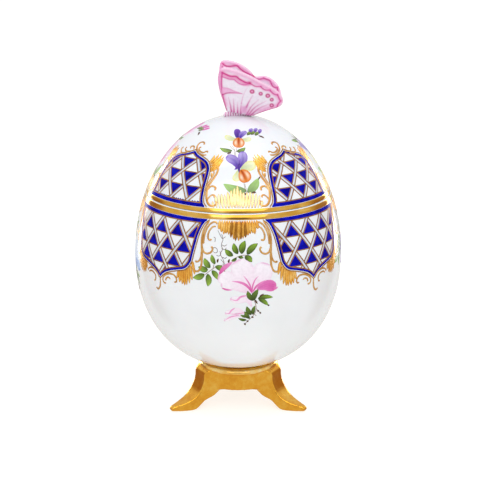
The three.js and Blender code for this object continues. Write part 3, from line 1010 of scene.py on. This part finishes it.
def bowl_flower(bag, chart, pale, full, strong, streak):
    """The large open flower: pale petals, one strong petal, streaks, two hanging buds and their leaves."""
    for root, tip, width, bend in (((4.4, -29.4), (-6.6, -27.2), 1.9, -0.1),
                                   ((5.4, -30.2), (-7.6, -23.6), 3.3, -0.06),
                                   ((5.4, -30.2), (-0.8, -17.6), 4.4, -0.04),
                                   ((5.6, -30.2), (10.4, -18.8), 4.1, -0.03)):
        petal(bag, chart, root, tip, width, pale, bend, 0.03 + 0.004 * width)
    petal(bag, chart, (6.9, -28.7), (14.5, -28.9), 2.35, strong, 0.17, 0.055)
    for points, width in (([(5.2, -30.4), (4.2, -28.4), (2.4, -26.7), (0.0, -25.8), (-2.6, -25.6)], 0.55),
                          ([(5.2, -30.2), (4.5, -27.4), (3.2, -25.0), (1.8, -23.2)], 0.32),
                          ([(5.3, -30.0), (5.4, -27.6), (6.3, -25.2), (7.7, -23.6)], 0.3),
                          ([(5.4, -30.0), (6.6, -28.0), (8.4, -26.5), (10.6, -25.4)], 0.45),
                          ([(-7.2, -23.1), (-5.4, -20.6), (-2.0, -18.0)], 0.9),
                          ([(-6.2, -28.3), (-4.4, -28.9), (-2.2, -29.0)], 0.4),
                          ([(13.0, -29.3), (14.2, -29.2), (15.4, -28.6)], 0.45)):
        brush(bag, chart, points, width, "leaf", streak, 0.075, 0.01, steps=16, across=PETAL_ACROSS)
    for points, width in (([(5.2, -36.0), (3.4, -32.9), (0.0, -33.0), (-3.0, -32.6)], 1.45),
                          ([(2.8, -39.2), (0.0, -37.4), (-2.4, -38.0), (-5.0, -38.8)], 1.2),
                          ([(1.4, -39.6), (-1.4, -40.0), (-5.4, -42.0)], 0.85)):
        brush(bag, chart, points, width, "petal", pale, 0.045, 0.015, steps=18, across=PETAL_ACROSS)
    for points, width in (([(3.4, -31.2), (0.9, -31.8), (-0.7, -33.2), (-3.2, -32.6)], 0.42),
                          ([(-1.2, -36.3), (-2.6, -37.4), (-3.4, -38.6), (-5.0, -38.7)], 0.34),
                          ([(2.4, -38.2), (-0.6, -38.9), (-3.6, -38.8)], 0.24),
                          ([(0.4, -39.4), (-2.8, -40.2), (-5.4, -42.0)], 0.28)):
        brush(bag, chart, points, width, "leaf", full, 0.07, 0.01, steps=16)
    for root, tip, width in (((5.6, -33.4), (3.5, -29.3), 1.05), ((5.8, -33.4), (7.6, -28.8), 1.15)):
        leaf(bag, chart, root, tip, width, DARK_GREEN, 0.1, 0.06)
    for root, tip, width in (((7.4, -32.6), (13.4, -32.6), 0.95), ((7.6, -32.8), (11.5, -35.8), 0.95),
                             ((5.0, -39.4), (3.2, -35.7), 1.0), ((5.6, -39.4), (6.4, -35.5), 0.8),
                             ((4.4, -41.0), (2.4, -37.8), 0.9), ((3.6, -40.2), (0.8, -39.3), 0.6),
                             ((3.2, -41.6), (0.0, -40.8), 0.65)):
        leaf(bag, chart, root, tip, width, DARK_GREEN if root[0] < 7 else GREEN, 0.08, 0.05)
    for root, tip in (((8.0, -31.9), (9.8, -30.9)), ((6.3, -33.0), (7.3, -34.9)),
                      ((11.2, -35.6), (12.0, -35.9)),
                      ((7.2, -37.4), (7.9, -38.2)), ((8.2, -38.3), (8.6, -39.1)),
                      ((5.0, -40.1), (5.8, -40.7)),
                      ((3.2, -41.9), (3.9, -42.4)), ((2.3, -43.0), (2.8, -43.9))):
        leaf(bag, chart, root, tip, 0.38, BROWN, 0.0, 0.06)


# The pale, full and strong petals of the bowl's flower, and the streaks in its middle
PINK_PETALS = (wash("e6b0d4", "eeeaf0", edge="e2b0d2", vein="ecdcea", edge_share=0.6, vein_share=0.3,
                    streaks=0.012, power=0.35, rim=9),
               wash("dd86bc", "eab0d4"), STRONG_PINK, wash("cc4a98", "e596c8"))
BLUE_PETALS = (wash("9dbcea", "e4ecf7", edge="b9d0f0", vein="8fb0e4", edge_share=0.6, vein_share=0.35),
               wash("5f8ad0", "b4cdf0"), BLUE, wash("345fb4", "9dbcea"))
VIOLET_PETALS = (wash("b4a0dc", "ece6f6", edge="c9bae8", vein="a890d8", edge_share=0.6, vein_share=0.35),
                 wash("7c5cc0", "c4b2ea"), VIOLET, wash("50309c", "b09ae0"))

lid_flowers, bowl_flowers = Bag(), Bag()
lid_spray(lid_flowers, egg_chart(FRONT), (VIOLET, DEEP_VIOLET), orange_lip, PALE_YELLOW, VIOLET)
lid_spray(lid_flowers, egg_chart(RIGHT), (VIOLET, DEEP_VIOLET), PALE_YELLOW, PALE_YELLOW, BLUE,
          with_top=False)
lid_spray(lid_flowers, egg_chart(BACK), (BLUE, BLUE), orange_lip, PALE_YELLOW, VIOLET)
lid_spray(lid_flowers, egg_chart(LEFT), (PINK, STRONG_PINK), PINK, PALE_PINK, STRONG_PINK)
for angle, petals in zip(SPRAY_ANGLES, (PINK_PETALS, VIOLET_PETALS, PINK_PETALS, BLUE_PETALS)):
    bowl_sprigs(bowl_flowers, egg_chart(angle))
    bowl_flower(bowl_flowers, egg_chart(angle), *petals)
piece("lid_flowers", lid_flowers, flower_paint, "lid")
piece("bowl_flowers", bowl_flowers, flower_paint, "base")


# ---------------------------------------------------------------- stand

def soft_min(a, b, radius):
    """The smaller of two distances, blended over a radius."""
    share = np.clip(0.5 + 0.5 * (b - a) / radius, 0, 1)
    return b * (1 - share) + a * share - radius * share * (1 - share)


def soft_max(a, b, radius):
    return -soft_min(-a, -b, radius)


def polygon_distance(x, y, corners):
    """Distance from points to a polygon, negative inside it."""
    corners = np.array(corners, float)
    best = np.full(x.shape, np.inf)
    odd = np.zeros(x.shape, bool)
    for (x1, y1), (x2, y2) in zip(corners, np.roll(corners, -1, axis=0)):
        dx, dy = x2 - x1, y2 - y1
        t = np.clip(((x - x1) * dx + (y - y1) * dy) / (dx * dx + dy * dy), 0, 1)
        best = np.minimum(best, (x - x1 - t * dx) ** 2 + (y - y1 - t * dy) ** 2)
        if y1 != y2:
            odd ^= ((y1 > y) != (y2 > y)) & (x < dx * (y - y1) / dy + x1)
    return np.where(odd, -1, 1) * np.sqrt(best)


LEG_OUTER = [(12.6, 17.2), (14.6, 16.9), (16.1, 16.3), (17.3, 15.4), (18.0, 14.3), (18.05, 13.2),
             (18.1, 12.0),
             (18.45, 10.6), (19.2, 8.9), (20.2, 7.3), (21.6, 5.8), (23.2, 4.7), (25.2, 3.8), (27.4, 3.1),
             (29.6, 2.5), (31.0, 2.0), (31.6, 1.2), (31.3, 0.5)]
LEG_INNER = [(28.0, 0.1), (24.5, 0.0), (22.3, 0.1), (21.0, 0.6), (19.9, 1.6), (18.6, 2.7), (17.2, 3.7),
             (15.6, 4.9),
             (14.0, 6.4), (12.6, 8.1), (11.8, 9.7), (11.4, 13.5), (12.0, 16.0)]
# Half-width of a leg by its distance from the middle
LEG_WIDTH = [(12.0, 6.0), (14.8, 5.6), (16.4, 4.7), (17.7, 4.1), (19.5, 4.1), (22.0, 3.7), (26.0, 2.7),
             (29.0, 1.8),
             (31.6, 1.1)]
RING = [(10.8, 10.2), (11.4, 9.4), (15.3, 9.0), (15.8, 9.4), (15.8, 12.0), (15.65, 14.4), (15.5, 15.8),
        (14.9, 16.6),
        (14.4, 17.2), (14.0, 17.8), (13.2, 18.0), (12.6, 17.4), (10.9, 15.6)]
RING_BEAD = (15.25, 16.55, 0.78)
BEAD_PROUD = 0.22  # how far the polished bead stands out of the ring
APRON_TOP, APRON_BOTTOM = 13.0, 9.1
APRON_DROP = [(0, 5.0), (12, 4.4), (20, 2.3), (28, 0.7), (38, 0)]  # degrees from a leg, and the edge's drop
LEG_BLEND = [(0, 2.0), (9, 2.0), (13, 1.6), (16, 0.8), (17.5, 0.4)]  # height, and how softly leg meets ring
BEAD_BLEND, LEG_ROUND, LIMIT_ROUND = 0.12, 0.55, 0.5
LEG_SHARE = 2 * math.pi / 3  # three legs share the turn
NET_LOW, NET_HIGH, NET_STEP = (-29.2, -19.9, -0.7), (29.2, 32.4, 19.3), 0.42


def stand_distance(p):
    """Distance to the stand: a ring with a bead, and three legs that flow into it."""
    x, y, z = p[..., 0], p[..., 1], p[..., 2]
    radius = np.hypot(x, y)
    turn = np.arctan2(x, y)
    turn = (turn + LEG_SHARE / 2) % LEG_SHARE - LEG_SHARE / 2
    reach, aside = radius * np.cos(turn), np.abs(radius * np.sin(turn))
    drop = graph(np.degrees(np.abs(turn)), APRON_DROP)
    squeeze = (APRON_TOP - APRON_BOTTOM) / (APRON_TOP - APRON_BOTTOM + drop)
    level = np.where(z < APRON_TOP, APRON_TOP - (APRON_TOP - z) * squeeze, z)
    ring = polygon_distance(radius, level, RING)
    bead = np.hypot(radius - RING_BEAD[0], z - RING_BEAD[1]) - RING_BEAD[2]
    ring = soft_min(ring, bead, BEAD_BLEND)
    leg = soft_max(polygon_distance(reach, z, LEG_PROFILE), aside - graph(reach, LEG_WIDTH), LEG_ROUND)
    both = soft_min(ring, leg, graph(z, LEG_BLEND))
    return soft_max(both, polygon_distance(reach, z, LEG_LIMIT), LIMIT_ROUND)


LEG_PROFILE = [*smooth_line(LEG_OUTER, 26), *smooth_line(LEG_INNER, 20)]
# Where the stand may be, seen from the side: within the legs' outer line, so that nothing bulges past it
LEG_LIMIT = [(14.6, 18.6), *smooth_line(LEG_OUTER, 26)[3:], (32, -2), (-2, -2), (-2, 18.6)]


def surface_net(distance, low, high, step):
    """A closed quad mesh on the zero surface of a distance function, drawn onto it exactly."""
    axes = [np.arange(a, b + step, step) for a, b in zip(low, high)]
    grid = np.stack(np.meshgrid(*axes, indexing="ij"), axis=-1)
    value = distance(grid)
    size = np.array(value.shape)
    total, count = np.zeros((*(size - 1), 3)), np.zeros(tuple(size - 1))
    crossings = []
    for axis in range(3):
        first = np.take(value, range(size[axis] - 1), axis)
        second = np.take(value, range(1, size[axis]), axis)
        cut = (first < 0) != (second < 0)
        share = np.where(cut, first / np.where(cut, first - second, 1), 0)
        spot = np.take(grid, range(size[axis] - 1), axis).copy()
        spot[..., axis] += share * step
        spot[~cut] = 0
        crossings.append(cut)
        others = [k for k in range(3) if k != axis]
        for shift in ((0, 0), (0, 1), (1, 0), (1, 1)):
            window = [slice(None)] * 3
            for k, s in zip(others, shift):
                window[k] = slice(s, s + size[k] - 1)
            total += spot[tuple(window)]
            count += cut[tuple(window)]
    live = count > 0
    index = np.cumsum(live.ravel()).reshape(live.shape) - 1
    points = total[live] / count[live][:, None]
    faces = []
    for axis in range(3):
        j, k = [n for n in range(3) if n != axis]
        for place in np.argwhere(crossings[axis]):
            ring = []
            for dj, dk in ((0, 0), (-1, 0), (-1, -1), (0, -1)):
                cell = place.copy()
                cell[j] += dj
                cell[k] += dk
                ring.append(int(index[tuple(cell)]))
            faces.append(tuple(ring))
    for _ in range(4):
        here = distance(points)
        slope = np.stack([(distance(points + d) - distance(points - d)) / 0.02 for d in np.eye(3) * 0.01], -1)
        move = here[:, None] * slope / np.maximum((slope**2).sum(1), 0.2)[:, None]
        points = points - np.clip(move, -0.2, 0.2)
    return points, faces


stand = Bag()
net_points, net_faces = surface_net(stand_distance, NET_LOW, NET_HIGH, NET_STEP)
net_points[:, 2] = np.maximum(net_points[:, 2], 0)  # the feet stand flat
stand.add(net_points, net_faces)
piece("stand", stand, stand_gold, "base",
      ["stand_ring", "stand_leg_front_left", "stand_leg_front_right", "stand_leg_back"])

# The bead wears the lighter gold, whose pale colour is a painted highlight
bead = Bag()
circle = rounded(RING_BEAD[:2], RING_BEAD[2] + BEAD_PROUD, 0, 360, steps=33)[:-1]
bead.add(*revolve(circle, closed=True))
piece("stand_bead", bead, highlit_bead_gold, "base")


# ---------------------------------------------------------------- butterfly

NEAR_OUTLINE = [
    (-4.6, 2.3), (-5.9, 6.6), (-7.1, 10.6), (-7.8, 15.2), (-7.3, 19.1), (-6.2, 20.7), (-4.6, 20.9),
    (-2.6, 20.5),
    (0.2, 19.4), (2.4, 18.4), (5.0, 17.2), (8.0, 15.5), (10.6, 14.1), (13.0, 12.6), (15.4, 10.7), (17.0, 8.5),
    (17.4, 6.5), (16.7, 4.8), (15.2, 3.9), (12.2, 2.9), (9.0, 1.7), (6.8, 0.8), (5.4, 0.3), (2.0, 0.9),
    (-1.4, 1.5),
]
FAR_OUTLINE = [
    (-4.6, 2.3), (-5.9, 6.6), (-7.0, 10.6), (-7.5, 15.2), (-7.2, 19.6), (-6.4, 21.2), (-4.8, 21.6),
    (-1.8, 21.1),
    (1.4, 19.8), (4.4, 17.7), (6.2, 15.6), (7.2, 15.2), (9.2, 15.5), (11.0, 15.3), (13.0, 14.4), (15.0, 12.6),
    (16.4, 10.2), (17.0, 7.6), (16.7, 5.0), (15.2, 3.9), (12.2, 2.9), (9.0, 1.7), (6.8, 0.8), (5.4, 0.3),
    (2.0, 0.9), (-1.4, 1.5),
]
WING_LEAN = math.radians(15)
WING_ROOT = (1.0, 117.7)
WING_HALF_THICKNESS = 0.72
WING_GRID = 0.24
RIM_WIDTH = 0.8  # over how much of its edge a wing is rounded


def edge_distance(x, y, line, closed=True):
    """Distance from points to a line, and how far along it the nearest place is."""
    best, along = np.full(np.shape(x), np.inf), np.zeros(np.shape(x))
    run = 0.0
    ends = zip(line, np.roll(line, -1, axis=0)) if closed else zip(line[:-1], line[1:])
    for (x1, y1), (x2, y2) in ends:
        dx, dy = x2 - x1, y2 - y1
        length = math.hypot(dx, dy)
        t = np.clip(((x - x1) * dx + (y - y1) * dy) / max(length**2, 1e-12), 0, 1)
        d = np.hypot(x - x1 - t * dx, y - y1 - t * dy)
        nearer = d < best
        best, along = np.where(nearer, d, best), np.where(nearer, run + t * length, along)
        run += length
    return best, along


def mark(distance, half_width, soft=0.12):
    """1 on a drawn line, falling softly to 0 beside it."""
    return 1 / (1 + np.exp((distance - half_width) / soft))


FORE_RIM_LINES = {
    -1: [(-6.1, 19.1), (-4.3, 18.1), (-2.9, 17.5), (-0.8, 17.3), (0.2, 16.4), (1.5, 15.5), (3.0, 14.6),
         (4.4, 14.4)],
    1: [(-6.1, 20.2), (-4.9, 19.3), (-3.1, 19.1), (-0.6, 19.3), (0.7, 18.2), (2.3, 17.0), (4.5, 15.9),
        (6.0, 15.3)],
}
FORE_SECOND_LINE = [(-6.3, 17.3), (-5.0, 16.9), (-3.5, 16.3), (-1.6, 16.1), (-0.7, 15.2), (0.6, 14.2),
                    (2.1, 13.7),
                    (3.3, 13.8), (4.4, 14.3)]
FRONT_RIM_LINE = [(-6.1, 19.0), (-6.4, 15.0), (-6.2, 11.0), (-5.6, 7.4), (-4.5, 3.0)]
# Scallops of four points each, in which a scallop's last point is the first point of the next
FAR_HIND_RIM = [(6.0, 15.3), (7.0, 14.3), (8.6, 14.1), (9.9, 14.5), (11.2, 14.0), (12.4, 13.5), (12.9, 12.4),
                (13.6, 11.2), (14.6, 10.8), (15.4, 10.9), (15.5, 9.0), (15.9, 7.6), (16.4, 6.8), (15.6, 5.8),
                (15.2, 5.0), (15.1, 4.1)]
HIND_RIM_LINE = [(4.4, 14.4), (5.2, 13.9), (6.7, 13.1), (8.7, 13.2), (9.2, 12.5), (10.5, 11.7), (12.3, 11.7),
                 (12.7, 11.0), (13.9, 9.9), (15.2, 9.6), (15.6, 8.6), (16.0, 7.6), (16.5, 7.0), (15.6, 5.9),
                 (15.2, 5.0), (15.1, 4.1)]
FORE_VEINS = [[(-2.6, 2.4), (-3.1, 5.6), (-3.8, 8.6)], [(-1.6, 2.2), (-1.7, 5.2), (-1.9, 8.0)],
              [(-0.2, 2.0), (-0.2, 4.4), (-0.2, 6.4)], [(1.0, 1.6), (1.0, 3.8), (1.3, 6.2)]]
HIND_VEINS = [[(3.2, 4.3), (4.2, 6.6), (5.6, 9.2)], [(3.2, 1.0), (5.2, 4.6), (7.9, 7.4)],
              [(3.9, 0.9), (6.6, 4.2), (10.9, 7.0)], [(4.8, 0.8), (7.9, 3.6), (11.8, 5.6)]]
HIND_EDGE = [(5.8, 0.8), (8.4, 1.8), (11.2, 2.9), (15.1, 4.1)]
DIVISION = [(1.2, 5.8), (2.2, 9.9), (4.0, 13.4)]
DASH = [(-6.0, 9.6), (-4.1, 10.3), (-1.6, 10.5), (1.6, 10.0)]
DASH_TOP = [(-6.2, 12.6), (-3.8, 12.3), (-1.6, 11.3), (1.4, 10.1)]
SPOTS = [(5.4, 10.85, 0.95), (8.7, 10.0, 0.82), (11.45, 9.2, 0.95), (13.0, 7.5, 0.8), (13.0, 5.1, 0.85)]


def wing_paint(x, y, side, edge):
    """Colour of the wings: lilac white, a pale pink rim, scalloped deep pink lines, veins and ring spots."""
    colour = np.broadcast_to(srgb("e9e0ec"), (*np.shape(x), 3)).copy()

    def lay(code, amount):
        nonlocal colour
        amount = np.clip(amount, 0, 1)[..., None]
        colour = colour * (1 - amount) + srgb(code) * amount

    def drawn(points, half_width, soft=0.09, taper=0.0):
        """A painted line, full at its start and thinner by a share towards its end."""
        line = smooth_line(points, 24)
        distance, run = edge_distance(x, y, line, closed=False)
        length = np.linalg.norm(np.diff(line, axis=0), axis=1).sum()
        return mark(distance, half_width * (1 - taper * run / length),
                    soft) * (1 - 0.6 * taper * run / length)

    upper = np.clip((y - 3.2 + 0.2 * x) / 1.5, 0, 1)
    fore_line, _ = edge_distance(x, y, smooth_line(FORE_RIM_LINES[side], 30), closed=False)
    second_line, _ = edge_distance(x, y, smooth_line(FORE_SECOND_LINE, 30), closed=False)
    lay("e49ccb", mark(edge, 2.3, 0.4) * upper * np.clip((x - 4) / 2, 0, 1) * 0.5)
    if side < 0:
        lay("dc62a8", mark(fore_line + second_line, 2.0, 0.25) * 0.6)
    lay("e07cbc", mark(edge, 1.4, 0.3) * upper * 0.85)
    lay("eeccdf", mark(edge, 0.9, 0.25) * np.clip((x + 7.2) / 1.2, 0, 1) * upper * 0.9)
    lay("cf3f96", mark(second_line, 0.16, 0.09) * (side < 0))
    lay("e4509f", mark(fore_line, 0.6, 0.2) * 0.6)
    lay("c61c7c", mark(fore_line, 0.24, 0.08))
    lay("c92a86", drawn(FRONT_RIM_LINE, 0.26))
    hind_rim = HIND_RIM_LINE if side < 0 else FAR_HIND_RIM
    for first in range(0, len(hind_rim) - 1, 3):
        scallop = hind_rim[first:first + 4]
        lay("e88cc4", drawn(scallop, 0.5, 0.25) * 0.5)
        lay("c8207e", drawn(scallop, 0.2))
    for line in (*FORE_VEINS, *HIND_VEINS):
        lay("e6a2cc", drawn(line, 0.5, 0.22, 0.9) * 0.6)
        lay("c0308a", drawn(line, 0.3, 0.08, 0.9))
    lay("c83a90", drawn(HIND_EDGE, 0.26, 0.1))
    lay("d678b4", drawn(DIVISION, 0.14, 0.07, 0.9))
    lay("dc8cc2", mark(np.maximum(np.abs(x - 2.4) - 1.0, np.abs(y - 3.2) - 1.3), 0.2, 0.25) * 0.8)
    wedge = (y < graph(x, DASH_TOP)) & (y > 10.1) & (x > -6.2) & (x < 1.2)
    lay("e6a6cf", wedge * 0.8)
    lay("dc70b0", drawn(DASH_TOP, 0.1))
    lay("bf2a80", drawn(DASH, 0.26, 0.08, 0.6))
    for sx, sy, size in SPOTS:
        ring = np.hypot(x - sx, y - sy)
        lay("b81c70", mark(ring, size, 0.08))
        lay("ecaed4", mark(ring, size * 0.42, 0.1) * 0.9)
    notch = FORE_RIM_LINES[side][-1]
    lay("be1860", mark(np.hypot(x - notch[0], y - notch[1]), 0.4, 0.12))
    return np.clip(colour, 0, 1)


def wing(side):
    """One wing: a cushioned plate with a rounded rim, its faces slightly hollowed between veins."""
    corners = NEAR_OUTLINE if side < 0 else FAR_OUTLINE
    loop = smooth_line([*corners, corners[0]], 260)[:-1]
    low, high = loop.min(0), loop.max(0)
    points = [tuple(p) for p in loop]
    edges = [(i, (i + 1) % len(points)) for i in range(len(points))]
    across, up = (np.arange(low[axis], high[axis], WING_GRID) for axis in (0, 1))
    points += [(x, y) for x in across for y in up]
    flat, _, triangles, *_ = delaunay_2d_cdt([Vector(p) for p in points], edges, [], 1, 1e-4, False)
    flat = np.array([tuple(p) for p in flat])
    middle = flat[np.array([tuple(t) for t in triangles])].mean(1)
    triangles = [tuple(t) for t, kept in zip(triangles, inside(loop, middle[:, 0], middle[:, 1])) if kept]
    used = sorted({i for t in triangles for i in t})
    order = {i: n for n, i in enumerate(used)}
    flat = flat[used]
    triangles = [tuple(order[i] for i in t) for t in triangles]
    x, y = flat[:, 0], flat[:, 1]
    edge, _ = edge_distance(x, y, loop)
    rim = np.sqrt(np.clip(1 - (1 - np.clip(edge / RIM_WIDTH, 0, 1)) ** 2, 0, 1))
    hollow = 0.16 * mark(-edge, -1.9, 0.35)
    ribs = sum(mark(edge_distance(x, y, smooth_line(v, 8), closed=False)[0], 0.25, 0.15)
               for v in (*FORE_VEINS, *HIND_VEINS))
    half = WING_HALF_THICKNESS * rim - hollow + 0.07 * np.clip(ribs, 0, 1) * rim
    half = np.clip(half, 0, WING_HALF_THICKNESS)
    wave = 0.22 * np.sin(0.5 * x + 0.2 * y) * np.clip(y / 14, 0, 1)
    colour = wing_paint(x, y, side, edge)
    shell = []
    for hand in (1, -1):
        depth = wave + hand * half
        lean = y * math.sin(WING_LEAN) + depth * math.cos(WING_LEAN)
        rise = y * math.cos(WING_LEAN) - depth * math.sin(WING_LEAN)
        shell.append(np.column_stack([x, side * (WING_ROOT[0] + lean), WING_ROOT[1] + rise]))
    free = [i for i in range(len(flat)) if edge[i] > 1e-5]
    other = {i: len(flat) + n for n, i in enumerate(free)}
    faces = triangles + [tuple(other.get(i, i) for i in t[::-1]) for t in triangles]
    bag = Bag()
    bag.add(np.vstack([shell[0], shell[1][free]]), faces, np.vstack([colour, colour[free]]))
    return bag


for side, name in ((-1, "left"), (1, "right")):
    piece(f"butterfly_wing_{name}_painted", wing(side), butterfly_paint, "lid",
          [f"butterfly_wing_{name}"])


BODY_ROWS, BODY_SIDES, BODY_RIBS = 120, 28, 12
BODY_RADIUS = 1.15
BODY_BEND, BODY_RISE = 0.0125, 0.62  # it follows the top of the egg, this far above it


def butterfly_body():
    """A ribbed body that lies along X on the top of the egg and tapers from head to tail."""
    start, end = body_low.x + 0.1, body_high.x - 0.1
    rows, paint = [], []
    for share in np.linspace(0, 1, BODY_ROWS):
        x = start + share * (end - start)
        taper = math.sqrt(max(1 - (2 * share - 1) ** 8, 0)) * (1 - 0.35 * share)
        rib = abs(math.sin(share * math.pi * BODY_RIBS))
        size = max(BODY_RADIUS * taper * (0.88 + 0.12 * rib), 0.02)
        turn = np.linspace(0, 2 * math.pi, BODY_SIDES, endpoint=False)
        rest = lid_high.z - PAINT_ROOM - BODY_BEND * x**2 + BODY_RISE
        rows.append(np.column_stack([np.full(BODY_SIDES, x), size * np.cos(turn),
                                     rest + size * np.sin(turn)]))
        dark = mark(rib, 0.42, 0.08)
        paint.append(np.broadcast_to(srgb("f2dcec") * (1 - dark) + srgb("cc4a98") * dark, (BODY_SIDES, 3)))
    bag = Bag()
    faces = grid_faces(BODY_ROWS, BODY_SIDES, closed_columns=True)
    count = BODY_ROWS * BODY_SIDES
    faces += [tuple(range(BODY_SIDES)), tuple(range(count - BODY_SIDES, count))]
    bag.add(np.vstack(rows), faces, np.vstack(paint))
    return bag


piece("butterfly_body_painted", butterfly_body(), butterfly_paint, "lid",
      ["butterfly_body"])


# ---------------------------------------------------------------- studio

CAMERA_VIEW, CAMERA_ELEVATION = math.radians(18.14), math.radians(15.76)
CAMERA_DISTANCE, CAMERA_LEVEL = 600, 70
CAMERA_AIM = (0.72, 0, 67.3)
FLOOR_RADIUS = 6000
SOFTBOXES = {  # place, size and energy
    "left_softbox": ((-420, 470, 100), (130, 430), 0.8),
    "right_softbox": ((420, 470, 100), (130, 430), 0.8),
    "front_softbox": ((0, -620, 560), (900, 420), 1.6),
    "top_softbox": ((0, -120, 760), (560, 300), 1.5),
}


def turned_to(thing, target):
    """Points a camera or a lamp at a place, and puts it in the scene."""
    thing.rotation_euler = (target - thing.location).to_track_quat("-Z", "Y").to_euler()
    bpy.context.scene.collection.objects.link(thing)


def studio_camera():
    camera_data = bpy.data.cameras.new("camera")
    camera_data.angle = CAMERA_VIEW
    camera = bpy.data.objects.new("camera", camera_data)
    back, up = CAMERA_DISTANCE * math.cos(CAMERA_ELEVATION), CAMERA_DISTANCE * math.sin(CAMERA_ELEVATION)
    camera.location = Vector((0, -back, CAMERA_LEVEL + up)) * MM
    turned_to(camera, Vector(CAMERA_AIM) * MM)
    bpy.context.scene.camera = camera
    bpy.context.scene.view_settings.view_transform = "Standard"


def studio_floor():
    """Pale paper that glows a little, so that it stays white to the edges of the picture."""
    shape = bmesh.new()
    bmesh.ops.create_circle(shape, cap_ends=True, segments=96, radius=FLOOR_RADIUS * MM)
    mesh = bpy.data.meshes.new("floor")
    shape.to_mesh(mesh)
    shape.free()
    floor = bpy.data.objects.new("floor", mesh)
    bpy.context.scene.collection.objects.link(floor)
    material, tree, shader = new_material("floor_paper")
    tree.links.new(ramp(tree, noise(tree, 8, 3), [(0.3, (0.34,) * 3), (0.7, (0.35,) * 3)]),
              shader.inputs["Base Color"])
    shader.inputs["Roughness"].default_value = 0.9
    shader.inputs["Emission Color"].default_value = (1, 0.97, 0.92, 1)
    shader.inputs["Emission Strength"].default_value = 0.78
    mesh.materials.append(material)
    floor.visible_glossy = False


def studio_room():
    """White walls, with a dim gap in front and brown sides low down behind, for the gold to mirror."""
    world = bpy.data.worlds.new("studio")
    world.use_nodes = True
    bpy.context.scene.world = world
    tree = world.node_tree
    background = tree.nodes["Background"]
    background.inputs["Strength"].default_value = 0.8

    def math_node(operation, first, second):
        node = tree.nodes.new("ShaderNodeMath")
        node.operation = operation
        for socket, value in zip(node.inputs, (first, second)):
            if isinstance(value, bpy.types.NodeSocket):
                tree.links.new(value, socket)
            else:
                socket.default_value = value
        return node.outputs["Value"]

    def between(value, low, high, at_low, at_high):
        node = tree.nodes.new("ShaderNodeMapRange")
        node.interpolation_type = "SMOOTHSTEP"
        for name, number in (("From Min", low), ("From Max", high), ("To Min", at_low), ("To Max", at_high)):
            node.inputs[name].default_value = number
        tree.links.new(value, node.inputs["Value"])
        return node.outputs["Result"]

    place = tree.nodes.new("ShaderNodeTexCoord")
    split = tree.nodes.new("ShaderNodeSeparateXYZ")
    tree.links.new(place.outputs["Generated"], split.inputs[0])
    facing = tree.nodes.new("ShaderNodeVectorMath")
    facing.operation = "DOT_PRODUCT"
    facing.inputs[1].default_value = (0, -0.96, 0.28)
    tree.links.new(place.outputs["Generated"], facing.inputs[0])
    front_gap = between(facing.outputs["Value"], 0.955, 0.99, 1.0, 0.3)
    aside = math_node("ABSOLUTE", split.outputs["X"], 0.0)
    low = between(split.outputs["Z"], 0.2, 0.44, 1.0, 0.0)
    flank = between(aside, 0.6, 0.78, 0.0, 1.0)
    behind = between(split.outputs["Y"], 0.05, 0.35, 0.0, 1.0)
    upward = between(split.outputs["Z"], -0.3, 0.6, 0.0, 1.0)
    sky = mix_colours(tree, upward, (0.96, 0.93, 0.88, 1), (0.98, 1.0, 1.05, 1))
    dark_side = math_node("MULTIPLY", math_node("MULTIPLY", low, flank), behind)
    room = mix_colours(tree, dark_side, sky, (0.5, 0.33, 0.22, 1))
    shade = tree.nodes.new("ShaderNodeCombineXYZ")
    for axis in "XYZ":
        tree.links.new(front_gap, shade.inputs[axis])
    shaded = mix_colours(tree, 1.0, room, shade.outputs["Vector"], "MULTIPLY")
    tree.links.new(shaded, background.inputs["Color"])


def studio_lamps():
    for name, (place, size, energy) in SOFTBOXES.items():
        light = bpy.data.lights.new(name, "AREA")
        light.shape = "RECTANGLE"
        light.size, light.size_y = size[0] * MM, size[1] * MM
        light.energy = energy
        lamp = bpy.data.objects.new(name, light)
        lamp.location = Vector(place) * MM
        lamp.visible_camera = False
        turned_to(lamp, Vector((0, 0, CAMERA_LEVEL)) * MM)


studio_camera()
studio_floor()
studio_room()
studio_lamps()
